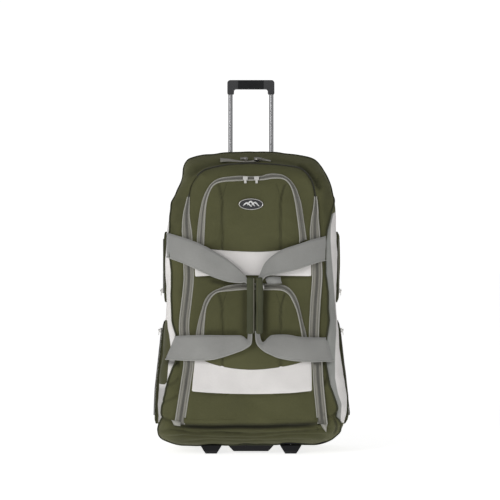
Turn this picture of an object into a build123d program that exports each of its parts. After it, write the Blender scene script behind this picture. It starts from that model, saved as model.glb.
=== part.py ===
"""Rolling duffel bag with a two-stage trolley handle, in millimetres.

The bag stands upright on two wheels and two skid rails. +Z is up, the front lid faces -Y, and the trolley
handle runs up the back at +Y. The origin is on the floor, at the centre of the bag's footprint.
"""

import os
from build123d import *

os.makedirs("parts", exist_ok=True)

# Fabric body
BACK_Y = 160.0  # outer face of the back panel
FRONT_Y = -120.0  # outer face of the front frame
FABRIC = 3.0  # padded fabric wall
BACK_BOARD = 5.0  # back panel with its stiffening board
BODY_BOTTOM = 18.0
BODY_TOP = 655.0
UPPER_SEAM = 560.0  # side panels meet the top panel
LOWER_SEAM = 100.0  # side panels meet the bottom panel
FOOT_SIDE = (200.0, 140.0)  # X, Z where the flared base starts to narrow
WAIST_SIDE = (180.0, 320.0)  # X, Z where the narrowing ends

# Front lid and the pockets on it
LID_GAP = 3.0  # between the frame and the lid
LID_THICK = 4.0
LID_FRONT_Y = FRONT_Y - LID_GAP - LID_THICK
RIM_DEPTH = 24.0  # how far the front frame turns back round the sides
FRONT_CORNER_RADIUS = 36.0
LID_BOTTOM = 67.0
LID_TOP = 626.0
LID_OVERLAP = 11.0  # how far the lid covers the front frame
POCKET_EDGE_Y = LID_FRONT_Y - 12.0
POCKET_FRONT_Y = POCKET_EDGE_Y - 7.0
POCKET_CROWN_INSET = 25.0
SIDE_POCKET_Y = 20.0  # middle of both side pockets
SIDE_POCKET_WIDTH = 150.0
UPPER_SIDE_POCKET = {"low": 326.0, "high": 480.0, "depth": 11.0}
LOWER_SIDE_POCKET = {"low": 62.0, "high": 287.0, "depth": 9.0}
SIDE_SLIDER_Y = SIDE_POCKET_Y - SIDE_POCKET_WIDTH / 2 + 8
SIDE_SLIDERS = {"upper": {"x": 191.0, "z": 352.0, "lean": 0}, "lower": {"x": 195.3, "z": 266.0, "lean": 20}}

# Wheels and base
WHEEL_X = 86.0
WHEEL_RADIUS = 25.0
WHEEL_WIDTH = 20.0
WHEEL_Y = BACK_Y - 20.0
WHEEL_WELL_RADIUS = 28.0
HUB_RADIUS = 17.0
HUB_WIDTH = 18.0
BEARING_RADIUS = 8.0
BEARING_WIDTH = 5.0
AXLE_RADIUS = 3.0
AXLE_PLAY = 0.06
AXLE_HEAD = (3.9, 1.5)  # radius and thickness
HOUSING_HALF = 23.0
HOUSING_FRONT_Y = WHEEL_Y - 32.0
HOUSING_BACK_Y = BACK_Y + 2.0
HOUSING_TOP = 57.0
RAIL_FRONT_Y = FRONT_Y + 48.0
BASE_PLATE_BOTTOM = BODY_BOTTOM + FABRIC
BASE_PLATE_TOP = BASE_PLATE_BOTTOM + 4.0
RAIL_FOOT_BACK_Y = -20.0
RAIL_CLEARANCE = 4.0  # the rails rise clear of the floor behind their feet
SKID_BACK_Y, SKID_FRONT_Y = -24.0, -60.0
SKID_BOTTOM = 4.0
SCREW_RADIUS = 1.9
SCREW_HEAD_RADIUS = 3.6
SCREW_HEAD_TOP = 10.0
SCREW_POINTS = [(38, -42), (-38, -42)] + [(x, y) for x in (-WHEEL_X, WHEEL_X) for y in (-50, 88)]

# Trolley handle
TUBE_X = 46.0
TUBE_Y = BACK_Y - 18.0
TUBE_PLAY = 0.1
UPPER_TUBE = {"radius": 5.0, "bore": 4.0, "bottom": 600.0, "top": 804.0}
MIDDLE_TUBE = {"radius": 6.3, "bore": 5.0 + TUBE_PLAY, "bottom": 430.0, "top": 650.0}
OUTER_TUBE = {"radius": 7.8, "bore": 6.3 + TUBE_PLAY, "bottom": 30.0, "top": 641.0}
SOCKET_BOTTOM, SOCKET_TOP = 636.0, 649.0
SOCKET_HALF = (66.0, 13.0)
COLLAR_BOTTOM, COLLAR_TOP = 642.0, 651.0
COLLAR_RADIUS = 7.6
COLLAR_BORE_RADIUS = 8.0
BRACKET_HALF_X = 60.0
BRACKET_TOP = 45.0
UPPER_TRAVEL = 135.0  # how far the upper stage slides down into the lower one
LOCK_Z = 612.0
BOLT_RADIUS = 1.5
BOLT_TIP, BOLT_TAIL = 6.2, 1.5  # from the tube's centre, outwards and inwards

# Grip
GRIP_BOTTOM, GRIP_TOP = 802.0, 822.0
GRIP_SLEEVE_BOTTOM = 790.0
GRIP_HALF = 53.0
GRIP_SPLIT_X = 29.0  # grip bar meets the corner pieces
GRIP_HALF_DEPTH = 12.0
YOKE_BOTTOM, YOKE_TOP = 811.0, 814.0
YOKE_HALF_DEPTH = 3.0
CAVITY_BOTTOM = 806.5
CAVITY_HALF_X = 49.0
ROD_RADIUS = 1.5
ROD_BOTTOM = 618.5
BUTTON_HALF = (15.0, 6.0)
BUTTON_TOP = 821.5
BUTTON_FLANGE = 2.0
BUTTON_TRAVEL = 4.0
BUTTON_PLAY = 0.5
SPRING_WIRE = 0.3
SPRING_RADIUS = 2.4

# Carry handles
SLEEVE_Y = -156.5
SLEEVE_SIZE = 17.0
SLEEVE_X = 9.3
SLEEVE_BOTTOM, SLEEVE_TOP = 262.0, 382.0
WEBBING_THICK = 2.4

# Zip sliders
FIT_GAP = 0.3
SLIDER_LENGTH, SLIDER_WIDTH = 10.0, 7.0
POST_RADIUS = 1.2
POST_HEAD_RADIUS = 2.0
POST_HEAD_THICK = 0.8
PULL_THICK = 1.4
PULL_WIDTH = 5.0
PULL_LENGTH = 11.0
PULL_PLAY = 0.25
MAIN_PULL_TURN = 80.0  # the main zip's pulls rest lying outwards along the zip

TOWARDS_VIEWER = (0, -1, 0)


def save(part, name):
    """Label a finished piece and write it as one STEP file."""
    part.label = name
    export_step(part, f"parts/{name}.step")


def front_face(points, radii, y, inset=0.0, symmetric=True):
    """A face seen from the front at depth y, from its right-hand half or from its whole outline."""
    with BuildSketch(Plane.XZ.offset(-y)) as face:
        with BuildLine():
            if symmetric:
                FilletPolyline(*points, radius=radii)
                mirror(about=Plane.YZ)
            else:
                Polyline(*points, close=True)
        make_face()
        if inset:
            offset(amount=-inset, mode=Mode.REPLACE)
    return face.sketch


def slab(points, radii, back_y, front_y, inset=0.0, symmetric=True):
    """A front-view face made solid from back_y forwards to front_y."""
    with BuildPart() as solid:
        face = front_face(points, radii, back_y, inset, symmetric)
        extrude(face, amount=back_y - front_y, dir=TOWARDS_VIEWER)
    return solid.part


def block(x=(-400, 400), y=(-400, 400), z=(-100, 1000)):
    """A box between limits."""
    with BuildPart() as box:
        with Locations(((x[0] + x[1]) / 2, (y[0] + y[1]) / 2, (z[0] + z[1]) / 2)):
            Box(x[1] - x[0], y[1] - y[0], z[1] - z[0])
    return box.part


def rod(radius, centre, bottom, top):
    """An upright cylinder at centre (x, y) between two heights."""
    with BuildPart() as cylinder:
        with Locations((*centre, bottom)):
            Cylinder(radius, top - bottom, align=(Align.CENTER, Align.CENTER, Align.MIN))
    return cylinder.part


def cross_rod(radius, x_limits, y, z):
    """A cylinder along X between two X values."""
    with BuildPart() as cylinder:
        with Locations(((x_limits[0] + x_limits[1]) / 2, y, z)):
            Cylinder(radius, x_limits[1] - x_limits[0], rotation=(0, 90, 0))
    return cylinder.part


# Fabric body: the front outline and the side profile, crossed, hollowed and cut into its sewn panels
BODY_POINTS = [
    (0, BODY_BOTTOM),
    (166, BODY_BOTTOM),
    (199, 62),
    FOOT_SIDE,
    WAIST_SIDE,
    (180, 490),
    (172, 552),
    (156, 604),
    (150, 636),
    (0, BODY_TOP),
]
BODY_RADII = [40, 46, 120, 200, 90, 60, 60, 34]
PROFILE_POINTS = [
    (FRONT_Y, BODY_BOTTOM),
    (BACK_Y, BODY_BOTTOM),
    (BACK_Y, BODY_TOP),
    (BACK_Y - 90, BODY_TOP),
    (FRONT_Y + 30, BODY_TOP - 16),
    (FRONT_Y, BODY_TOP - 52),
]
PROFILE_RADII = [46, 14, 12, 90, 22, 40]


def body_solid(inset):
    """The stuffed body as a solid, shrunk all round by the inset or swollen by a negative one."""
    with BuildPart() as body:
        add(slab(BODY_POINTS, BODY_RADII, BACK_Y - inset, FRONT_Y + inset, inset))
        fillet(body.faces().sort_by(Axis.Y)[0].edges(), FRONT_CORNER_RADIUS - inset)
        with BuildSketch(Plane.YZ):
            with BuildLine():
                FilletPolyline(*PROFILE_POINTS, radius=PROFILE_RADII, close=True)
            make_face()
            if inset:
                offset(amount=-inset, mode=Mode.REPLACE)
        extrude(amount=300, both=True, mode=Mode.INTERSECT)
    return body.part


LID_POINTS = [(0, LID_BOTTOM), (152, LID_BOTTOM), (134, 170), (136, LID_TOP - 5), (0, LID_TOP)]
LID_RADII = [8, 60, 66]

body = body_solid(0)
with BuildPart() as body_hollow:
    add(body_solid(FABRIC))
    add(block(y=(-400, BACK_Y - BACK_BOARD)), mode=Mode.INTERSECT)
with BuildPart() as shell:
    add(body)
    add(body_hollow.part, mode=Mode.SUBTRACT)

lid_opening = slab(LID_POINTS, LID_RADII, FRONT_Y + RIM_DEPTH, FRONT_Y - 10, inset=LID_OVERLAP)
socket_opening = block(
    x=(-SOCKET_HALF[0], SOCKET_HALF[0]), y=(TUBE_Y - SOCKET_HALF[1], TUBE_Y + SOCKET_HALF[1]), z=(630, 700)
)
HOUSING_POINTS = [
    (-HOUSING_HALF, HOUSING_TOP),
    (-HOUSING_HALF, 20),
    (-14.5, 5),
    (14.5, 5),
    (HOUSING_HALF, 20),
    (HOUSING_HALF, HOUSING_TOP),
]


def housing_block(side):
    """The outer block of a wheel housing, on the left (-1) or right (1)."""
    points = [(x + side * WHEEL_X, z) for x, z in HOUSING_POINTS]
    return slab(points, None, HOUSING_BACK_Y, HOUSING_FRONT_Y, symmetric=False)


def panel(name, limits, cutters=()):
    """One sewn panel: the part of the shell inside the limits, less its openings."""
    with BuildPart() as piece:
        add(shell.part)
        add(block(**limits), mode=Mode.INTERSECT)
        for cutter in cutters:
            add(cutter, mode=Mode.SUBTRACT)
    save(piece.part, name)


inner_y = (FRONT_Y + RIM_DEPTH, BACK_Y - BACK_BOARD)
side_z = (LOWER_SEAM, UPPER_SEAM)
housings = [housing_block(-1), housing_block(1)]
screw_holes = [rod(SCREW_RADIUS + 0.2, point, 0, 30) for point in SCREW_POINTS]
panel("back_panel", {"y": (BACK_Y - BACK_BOARD, 400)}, housings)
panel("front_frame", {"y": (-400, FRONT_Y + RIM_DEPTH)}, [lid_opening])
panel("left_side_panel", {"x": (-400, 0), "y": inner_y, "z": side_z})
panel("right_side_panel", {"x": (0, 400), "y": inner_y, "z": side_z})
panel("top_panel", {"y": inner_y, "z": (UPPER_SEAM, 1000)}, [socket_opening])
panel("bottom_panel", {"y": inner_y, "z": (-100, LOWER_SEAM)}, housings + screw_holes)


# Lid, with its two pockets and badge
with BuildPart() as lid_panel:
    add(body_solid(-LID_GAP - LID_THICK))
    add(body_solid(-LID_GAP), mode=Mode.SUBTRACT)
    add(slab(LID_POINTS, LID_RADII, FRONT_Y + RIM_DEPTH, FRONT_Y - 20), mode=Mode.INTERSECT)
save(lid_panel.part, "lid_panel")

POCKETS = {
    "upper_pocket": ([(0, 436), (113, 452), (100, 594), (0, 598)], [8, 36]),
    "lower_pocket": ([(0, 186), (116, 204), (98, 364), (0, 368)], [6, 34]),
}
for name, (points, radii) in POCKETS.items():
    with BuildPart() as pocket:
        add(slab(points, radii, LID_FRONT_Y, POCKET_EDGE_Y))
        add(slab(points, radii, POCKET_EDGE_Y, POCKET_FRONT_Y, inset=POCKET_CROWN_INSET))
    save(pocket.part, name)

with BuildPart() as badge:
    with BuildSketch(Plane.XZ.offset(-POCKET_FRONT_Y)):
        with Locations((0, 537.5)):
            Ellipse(26, 12)
    extrude(amount=2.6)
    fillet(badge.faces().sort_by(Axis.Y)[0].edges(), 1.0)
save(badge.part, "badge")

# Side pockets, on the outside of both side panels
for pocket_name, size in (("upper", UPPER_SIDE_POCKET), ("lower", LOWER_SIDE_POCKET)):
    swollen = body_solid(-size["depth"])
    for side_name, side in (("left", -1), ("right", 1)):
        with BuildPart() as side_pocket:
            with BuildSketch(Plane.YZ):
                with Locations((SIDE_POCKET_Y, (size["low"] + size["high"]) / 2)):
                    RectangleRounded(SIDE_POCKET_WIDTH, size["high"] - size["low"], 18)
            extrude(amount=side * 300)
            add(swollen, mode=Mode.INTERSECT)
            add(body, mode=Mode.SUBTRACT)
        save(side_pocket.part, f"{side_name}_{pocket_name}_side_pocket")


# Base: stiffening plate, skid rails, middle skid and the screws that hold them
with BuildPart() as base_plate:
    add(body_hollow.part)
    add(block((-160, 160), (-70, TUBE_Y + 6), (BASE_PLATE_BOTTOM, BASE_PLATE_TOP)), mode=Mode.INTERSECT)
    for x, y in SCREW_POINTS:
        add(rod(SCREW_RADIUS, (x, y), 10, 30), mode=Mode.SUBTRACT)
    for side in (-1, 1):
        gap_x = (side * WHEEL_X - HOUSING_HALF - 3, side * WHEEL_X + HOUSING_HALF + 3)
        add(block(gap_x, (HOUSING_FRONT_Y, 200), (0, 40)), mode=Mode.SUBTRACT)
save(base_plate.part, "base_plate")

with BuildPart() as skid_rails:
    for side in (-1, 1):
        centre = side * WHEEL_X
        half = HOUSING_HALF
        rail = [(centre - half, BODY_BOTTOM), (centre - 12, 0), (centre + 12, 0), (centre + half, BODY_BOTTOM)]
        add(slab(rail, None, HOUSING_FRONT_Y, RAIL_FRONT_Y, symmetric=False))
    add(block(y=(RAIL_FOOT_BACK_Y, 200), z=(-1, RAIL_CLEARANCE)), mode=Mode.SUBTRACT)
    front_edges = skid_rails.faces().sort_by(Axis.Y)[0:2].edges()
    chamfer(front_edges.group_by(Axis.Z)[0], 6)
    for x, y in SCREW_POINTS:
        add(rod(SCREW_RADIUS + 0.2, (x, y), 0, 30), mode=Mode.SUBTRACT)
        add(rod(SCREW_HEAD_RADIUS + 0.2, (x, y), -5, SCREW_HEAD_TOP), mode=Mode.SUBTRACT)
save(skid_rails.part, "skid_rails")

with BuildPart() as base_skid:
    keel = [(-50, BODY_BOTTOM), (-37, SKID_BOTTOM), (37, SKID_BOTTOM), (50, BODY_BOTTOM)]
    add(slab(keel, None, SKID_BACK_Y, SKID_FRONT_Y, symmetric=False))
    fillet(base_skid.faces().sort_by(Axis.Z)[0].edges(), 6)
    for x, y in SCREW_POINTS:
        add(rod(SCREW_RADIUS + 0.2, (x, y), 0, 30), mode=Mode.SUBTRACT)
        add(rod(SCREW_HEAD_RADIUS + 0.2, (x, y), 0, SCREW_HEAD_TOP), mode=Mode.SUBTRACT)
save(base_skid.part, "base_skid")

with BuildPart() as base_screws:
    for x, y in SCREW_POINTS:
        add(rod(SCREW_RADIUS, (x, y), SCREW_HEAD_TOP, BASE_PLATE_TOP))
        add(rod(SCREW_HEAD_RADIUS, (x, y), SCREW_HEAD_TOP - 3, SCREW_HEAD_TOP))
        add(block((x - 2, x + 2), (y - 0.5, y + 0.5), (0, SCREW_HEAD_TOP - 2)), mode=Mode.SUBTRACT)
save(base_screws.part, "base_screws")

# Wheels: housing, axle, two bearings, hub and tyre on each side
for side_name, side in (("left", -1), ("right", 1)):
    wheel_x = side * WHEEL_X
    with BuildPart() as housing:
        add(housing_block(side))
        well = (wheel_x - WHEEL_WIDTH / 2 - 2, wheel_x + WHEEL_WIDTH / 2 + 2)
        add(cross_rod(WHEEL_WELL_RADIUS, well, WHEEL_Y, WHEEL_RADIUS), mode=Mode.SUBTRACT)
        well_y = (WHEEL_Y - WHEEL_WELL_RADIUS, WHEEL_Y + WHEEL_WELL_RADIUS)
        add(block(well, well_y, (-10, WHEEL_RADIUS)), mode=Mode.SUBTRACT)
        add(cross_rod(AXLE_RADIUS, (wheel_x - 40, wheel_x + 40), WHEEL_Y, WHEEL_RADIUS), mode=Mode.SUBTRACT)
    save(housing.part, f"wheel_housing_{side_name}")

    with BuildPart() as tyre:
        add(cross_rod(WHEEL_RADIUS, (wheel_x - WHEEL_WIDTH / 2, wheel_x + WHEEL_WIDTH / 2), WHEEL_Y, WHEEL_RADIUS))
        fillet(tyre.edges().filter_by(GeomType.CIRCLE), 3.5)
        add(cross_rod(HUB_RADIUS, (wheel_x - 20, wheel_x + 20), WHEEL_Y, WHEEL_RADIUS), mode=Mode.SUBTRACT)
    save(tyre.part, f"wheel_tyre_{side_name}")

    with BuildPart() as hub:
        add(cross_rod(HUB_RADIUS, (wheel_x - HUB_WIDTH / 2, wheel_x + HUB_WIDTH / 2), WHEEL_Y, WHEEL_RADIUS))
        add(cross_rod(AXLE_RADIUS + 0.6, (wheel_x - 20, wheel_x + 20), WHEEL_Y, WHEEL_RADIUS), mode=Mode.SUBTRACT)
        for end in (-1, 1):
            seat = sorted([wheel_x + end * HUB_WIDTH / 2, wheel_x + end * (HUB_WIDTH / 2 - BEARING_WIDTH)])
            add(cross_rod(BEARING_RADIUS, seat, WHEEL_Y, WHEEL_RADIUS), mode=Mode.SUBTRACT)
        with Locations(Location((wheel_x, WHEEL_Y, WHEEL_RADIUS), (0, 90, 0))):
            with PolarLocations(12.5, 6):
                Cylinder(2.6, HUB_WIDTH, mode=Mode.SUBTRACT)
    save(hub.part, f"wheel_hub_{side_name}")

    with BuildPart() as bearings:
        for end in (-1, 1):
            seat = sorted([wheel_x + end * HUB_WIDTH / 2, wheel_x + end * (HUB_WIDTH / 2 - BEARING_WIDTH)])
            add(cross_rod(BEARING_RADIUS, seat, WHEEL_Y, WHEEL_RADIUS))
        bore = AXLE_RADIUS + AXLE_PLAY
        add(cross_rod(bore, (wheel_x - 20, wheel_x + 20), WHEEL_Y, WHEEL_RADIUS), mode=Mode.SUBTRACT)
    save(bearings.part, f"wheel_bearings_{side_name}")

with BuildPart() as axles:
    head_radius, head_thick = AXLE_HEAD
    for side in (-1, 1):
        ends = (side * WHEEL_X - HOUSING_HALF, side * WHEEL_X + HOUSING_HALF)
        add(cross_rod(AXLE_RADIUS, ends, WHEEL_Y, WHEEL_RADIUS))
        add(cross_rod(head_radius, (ends[0] - head_thick, ends[0]), WHEEL_Y, WHEEL_RADIUS))
        add(cross_rod(head_radius, (ends[1], ends[1] + head_thick), WHEEL_Y, WHEEL_RADIUS))
save(axles.part, "wheel_axles")


# Trolley: bracket at the foot, socket at the top, and three nested pairs of tubes
with BuildPart() as tube_bracket:
    bracket_y = (TUBE_Y - 11, BACK_Y - BACK_BOARD)
    add(block((-BRACKET_HALF_X, BRACKET_HALF_X), bracket_y, (BASE_PLATE_TOP, BRACKET_TOP)))
    add(body_hollow.part, mode=Mode.INTERSECT)
    for side in (-1, 1):
        foot = rod(OUTER_TUBE["radius"], (side * TUBE_X, TUBE_Y), OUTER_TUBE["bottom"], 100)
        add(foot, mode=Mode.SUBTRACT)
save(tube_bracket.part, "tube_bracket")

with BuildPart() as handle_socket:
    socket_y = (TUBE_Y - SOCKET_HALF[1], TUBE_Y + SOCKET_HALF[1])
    add(block((-SOCKET_HALF[0], SOCKET_HALF[0]), socket_y, (SOCKET_BOTTOM, SOCKET_TOP)))
    fillet(handle_socket.edges().filter_by(Axis.Z), 6)
    for side in (-1, 1):
        centre = (side * TUBE_X, TUBE_Y)
        add(rod(OUTER_TUBE["radius"], centre, 600, OUTER_TUBE["top"]), mode=Mode.SUBTRACT)
        add(rod(COLLAR_BORE_RADIUS, centre, OUTER_TUBE["top"], 700), mode=Mode.SUBTRACT)
save(handle_socket.part, "handle_socket")

LOCK_HOLES = {"upper": [LOCK_Z], "middle": [LOCK_Z, LOCK_Z - UPPER_TRAVEL], "outer": []}
for stage, size in (("upper", UPPER_TUBE), ("middle", MIDDLE_TUBE), ("outer", OUTER_TUBE)):
    for side_name, side in (("left", -1), ("right", 1)):
        centre = (side * TUBE_X, TUBE_Y)
        outward = sorted([side * TUBE_X, side * (TUBE_X + 10)])
        with BuildPart() as tube:
            add(rod(size["radius"], centre, size["bottom"], size["top"]))
            add(rod(size["bore"], centre, size["bottom"], size["top"]), mode=Mode.SUBTRACT)
            for hole_z in LOCK_HOLES[stage]:
                add(cross_rod(BOLT_RADIUS + 0.15, outward, TUBE_Y, hole_z), mode=Mode.SUBTRACT)
        save(tube.part, f"{stage}_tube_{side_name}")

with BuildPart() as collars:
    for side in (-1, 1):
        centre = (side * TUBE_X, TUBE_Y)
        add(rod(COLLAR_RADIUS, centre, COLLAR_BOTTOM, COLLAR_TOP))
        add(rod(MIDDLE_TUBE["radius"], centre, COLLAR_BOTTOM, MIDDLE_TUBE["top"]), mode=Mode.SUBTRACT)
        add(rod(MIDDLE_TUBE["bore"], centre, COLLAR_BOTTOM, COLLAR_TOP), mode=Mode.SUBTRACT)
save(collars.part, "middle_tube_collars")

for side_name, side in (("left", -1), ("right", 1)):
    with BuildPart() as bolt:
        ends = sorted([side * (TUBE_X + BOLT_TIP), side * (TUBE_X - BOLT_TAIL)])
        add(cross_rod(BOLT_RADIUS, ends, TUBE_Y, LOCK_Z))
    save(bolt.part, f"lock_bolt_{side_name}")

# Grip: one rounded bar with hanging ends, hollow for the button and its yoke
GRIP_OUTLINE = [
    (0, GRIP_BOTTOM),
    (TUBE_X - 8, GRIP_BOTTOM),
    (TUBE_X - 8, GRIP_SLEEVE_BOTTOM),
    (GRIP_HALF, GRIP_SLEEVE_BOTTOM),
    (GRIP_HALF, GRIP_TOP),
    (0, GRIP_TOP),
]
button_pocket_half = (BUTTON_HALF[0] + 4, BUTTON_HALF[1] + 2.5)
with BuildPart() as grip:
    back, front = TUBE_Y + GRIP_HALF_DEPTH, TUBE_Y - GRIP_HALF_DEPTH
    add(slab(GRIP_OUTLINE, [5, 3.5, 3.5, 7], back, front))
    outline_edges = grip.faces().sort_by(Axis.Y)[0].edges() + grip.faces().sort_by(Axis.Y)[-1].edges()
    fillet(outline_edges, 1.5)
    cavity_y = (TUBE_Y - YOKE_HALF_DEPTH - 1, TUBE_Y + YOKE_HALF_DEPTH + 1)
    add(block((-CAVITY_HALF_X, CAVITY_HALF_X), cavity_y, (CAVITY_BOTTOM, YOKE_TOP + 1)), mode=Mode.SUBTRACT)
    pocket_x = (-button_pocket_half[0], button_pocket_half[0])
    pocket_y = (TUBE_Y - button_pocket_half[1], TUBE_Y + button_pocket_half[1])
    flange_top = YOKE_TOP + BUTTON_FLANGE
    pocket_z = (YOKE_TOP - BUTTON_TRAVEL - 0.5, flange_top + 0.5)
    add(block(pocket_x, pocket_y, pocket_z), mode=Mode.SUBTRACT)
    slot_x = (-BUTTON_HALF[0] - BUTTON_PLAY, BUTTON_HALF[0] + BUTTON_PLAY)
    slot_y = (TUBE_Y - BUTTON_HALF[1] - BUTTON_PLAY, TUBE_Y + BUTTON_HALF[1] + BUTTON_PLAY)
    add(block(slot_x, slot_y, (flange_top, 900)), mode=Mode.SUBTRACT)
    for side in (-1, 1):
        centre = (side * TUBE_X, TUBE_Y)
        add(rod(UPPER_TUBE["radius"], centre, 700, UPPER_TUBE["top"]), mode=Mode.SUBTRACT)
        add(rod(ROD_RADIUS + 0.5, centre, 700, CAVITY_BOTTOM + 1), mode=Mode.SUBTRACT)

with BuildPart() as grip_bar:
    add(grip.part)
    add(block(x=(-GRIP_SPLIT_X, GRIP_SPLIT_X)), mode=Mode.INTERSECT)
save(grip_bar.part, "grip_bar")

with BuildPart() as grip_corners:
    add(grip.part)
    add(block(x=(-GRIP_SPLIT_X, GRIP_SPLIT_X)), mode=Mode.SUBTRACT)
save(grip_corners.part, "grip_corners")

with BuildPart() as release_button:
    half_x, half_y = BUTTON_HALF
    button_y = (TUBE_Y - half_y, TUBE_Y + half_y)
    add(block((-half_x, half_x), button_y, (YOKE_TOP, BUTTON_TOP)))
    fillet(release_button.edges().filter_by(Axis.Z), 4)
    fillet(release_button.faces().sort_by(Axis.Z)[-1].edges(), 1)
    flange_y = (TUBE_Y - half_y - 2, TUBE_Y + half_y + 2)
    add(block((-half_x - 3, half_x + 3), flange_y, (YOKE_TOP, flange_top)))
save(release_button.part, "release_button")

with BuildPart() as push_yoke:
    yoke_y = (TUBE_Y - YOKE_HALF_DEPTH, TUBE_Y + YOKE_HALF_DEPTH)
    add(block((-TUBE_X - 2, TUBE_X + 2), yoke_y, (YOKE_BOTTOM, YOKE_TOP)))
    for side in (-1, 1):
        add(rod(ROD_RADIUS, (side * TUBE_X, TUBE_Y), ROD_BOTTOM, YOKE_TOP))
save(push_yoke.part, "push_yoke")

with BuildPart() as button_spring:
    with BuildLine() as coil:
        spring_height = YOKE_BOTTOM - CAVITY_BOTTOM - 2 * SPRING_WIRE
        Helix(spring_height / 3, spring_height, SPRING_RADIUS, center=(0, TUBE_Y, CAVITY_BOTTOM + SPRING_WIRE))
    with BuildSketch(Plane(coil.line @ 0, z_dir=coil.line % 0)):
        Circle(SPRING_WIRE)
    sweep(is_frenet=True)
    add(block(z=(CAVITY_BOTTOM, YOKE_BOTTOM)), mode=Mode.INTERSECT)
save(button_spring.part, "button_spring")


# Carry handles: each strap leaves the side seam, crosses the front, and turns down through its grip sleeve.
# Its two legs are seen from above as a path round the body's rounded corner, and from the front as an outline.
STRAP_LEGS = [
    {
        "corner_x": 145,
        "outline": [
            (184, 467),
            (70, 442),
            (SLEEVE_X - 6.5, 404),
            (SLEEVE_X - 6.5, 322),
            (SLEEVE_X + 6.5, 322),
            (SLEEVE_X + 6.5, 366),
            (66, 392),
            (184, 416),
        ],
    },
    {
        "corner_x": 157,
        "outline": [
            (194, 206),
            (46, 212),
            (SLEEVE_X - 6.5, 240),
            (SLEEVE_X - 6.5, 322),
            (SLEEVE_X + 6.5, 322),
            (SLEEVE_X + 6.5, 278),
            (60, 260),
            (194, 258),
        ],
    },
]


def strap_leg(side, corner_x, outline):
    """One leg of a carry strap, on the left (-1) or right (1)."""
    corner_y = FRONT_Y + FRONT_CORNER_RADIUS
    path = [
        (corner_x + 39.2, corner_y - 8),
        (corner_x + 34.2, corner_y - 20),
        (corner_x + 19.8, corner_y - 34.2),
        (112, -144),
        (76, -150),
        (28, SLEEVE_Y),
        (0, SLEEVE_Y),
    ]
    with BuildPart() as leg:
        with BuildSketch():
            with BuildLine():
                Polyline(*[(side * x, y) for x, y in path])
                offset(amount=WEBBING_THICK / 2, side=Side.BOTH)
            make_face()
        extrude(amount=600)
        add(slab([(side * x, z) for x, z in outline], None, 0, -200, symmetric=False), mode=Mode.INTERSECT)
    return leg.part


for side_name, side in (("left", -1), ("right", 1)):
    with BuildPart() as webbing:
        for leg in STRAP_LEGS:
            add(strap_leg(side, leg["corner_x"], leg["outline"]))
    save(webbing.part, f"{side_name}_carry_webbing")

    with BuildPart() as sleeve:
        with BuildSketch(Plane.XY.offset(SLEEVE_BOTTOM)):
            with Locations((side * SLEEVE_X, SLEEVE_Y)):
                RectangleRounded(SLEEVE_SIZE, SLEEVE_SIZE, 6)
        extrude(amount=SLEEVE_TOP - SLEEVE_BOTTOM)
        add(webbing.part, mode=Mode.SUBTRACT)
    save(sleeve.part, f"{side_name}_grip_sleeve")


# Zip sliders: a body on the zip, a post that carries the pull, and the pull hanging from the post
def zip_plane(origin, outward):
    """A plane on the zip, its Z pointing out of the fabric and its Y up the bag."""
    return Plane(origin=origin, x_dir=Vector(0, 0, 1).cross(Vector(*outward)), z_dir=Vector(*outward))


def zip_slider(plane, base, height, upright=False):
    """The slider between the heights base and height above the plane, with its headed post on top."""
    length, width = (SLIDER_WIDTH, SLIDER_LENGTH) if upright else (SLIDER_LENGTH, SLIDER_WIDTH)
    post_top = height + PULL_THICK + 2 * PULL_PLAY
    with BuildPart(plane) as body_part:
        with Locations((0, 0, base)):
            Box(length, width, height - base, align=(Align.CENTER, Align.CENTER, Align.MIN))
        with Locations((0, 0, height)):
            Cylinder(POST_RADIUS, post_top - height, align=(Align.CENTER, Align.CENTER, Align.MIN))
        with Locations((0, 0, post_top)):
            Cylinder(POST_HEAD_RADIUS, POST_HEAD_THICK, align=(Align.CENTER, Align.CENTER, Align.MIN))
    return body_part.part


def zip_pull(plane, height, turn=0.0):
    """The pull: an eye round the post at this height above the plane, and a tab turned this far from hanging down."""
    sideways = plane.x_dir.rotate(Axis((0, 0, 0), plane.z_dir), turn)
    with BuildPart(Plane(origin=plane.origin, x_dir=sideways, z_dir=plane.z_dir)) as pull:
        with Locations((0, -PULL_LENGTH / 2, height + PULL_PLAY)):
            Box(PULL_WIDTH, PULL_LENGTH, PULL_THICK, align=(Align.CENTER, Align.CENTER, Align.MIN))
        with Locations((0, 0, height + PULL_PLAY)):
            Cylinder(PULL_WIDTH / 2, PULL_THICK, align=(Align.CENTER, Align.CENTER, Align.MIN))
            Cylinder(
                POST_RADIUS + PULL_PLAY, PULL_THICK, align=(Align.CENTER, Align.CENTER, Align.MIN), mode=Mode.SUBTRACT
            )
    return pull.part


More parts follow.
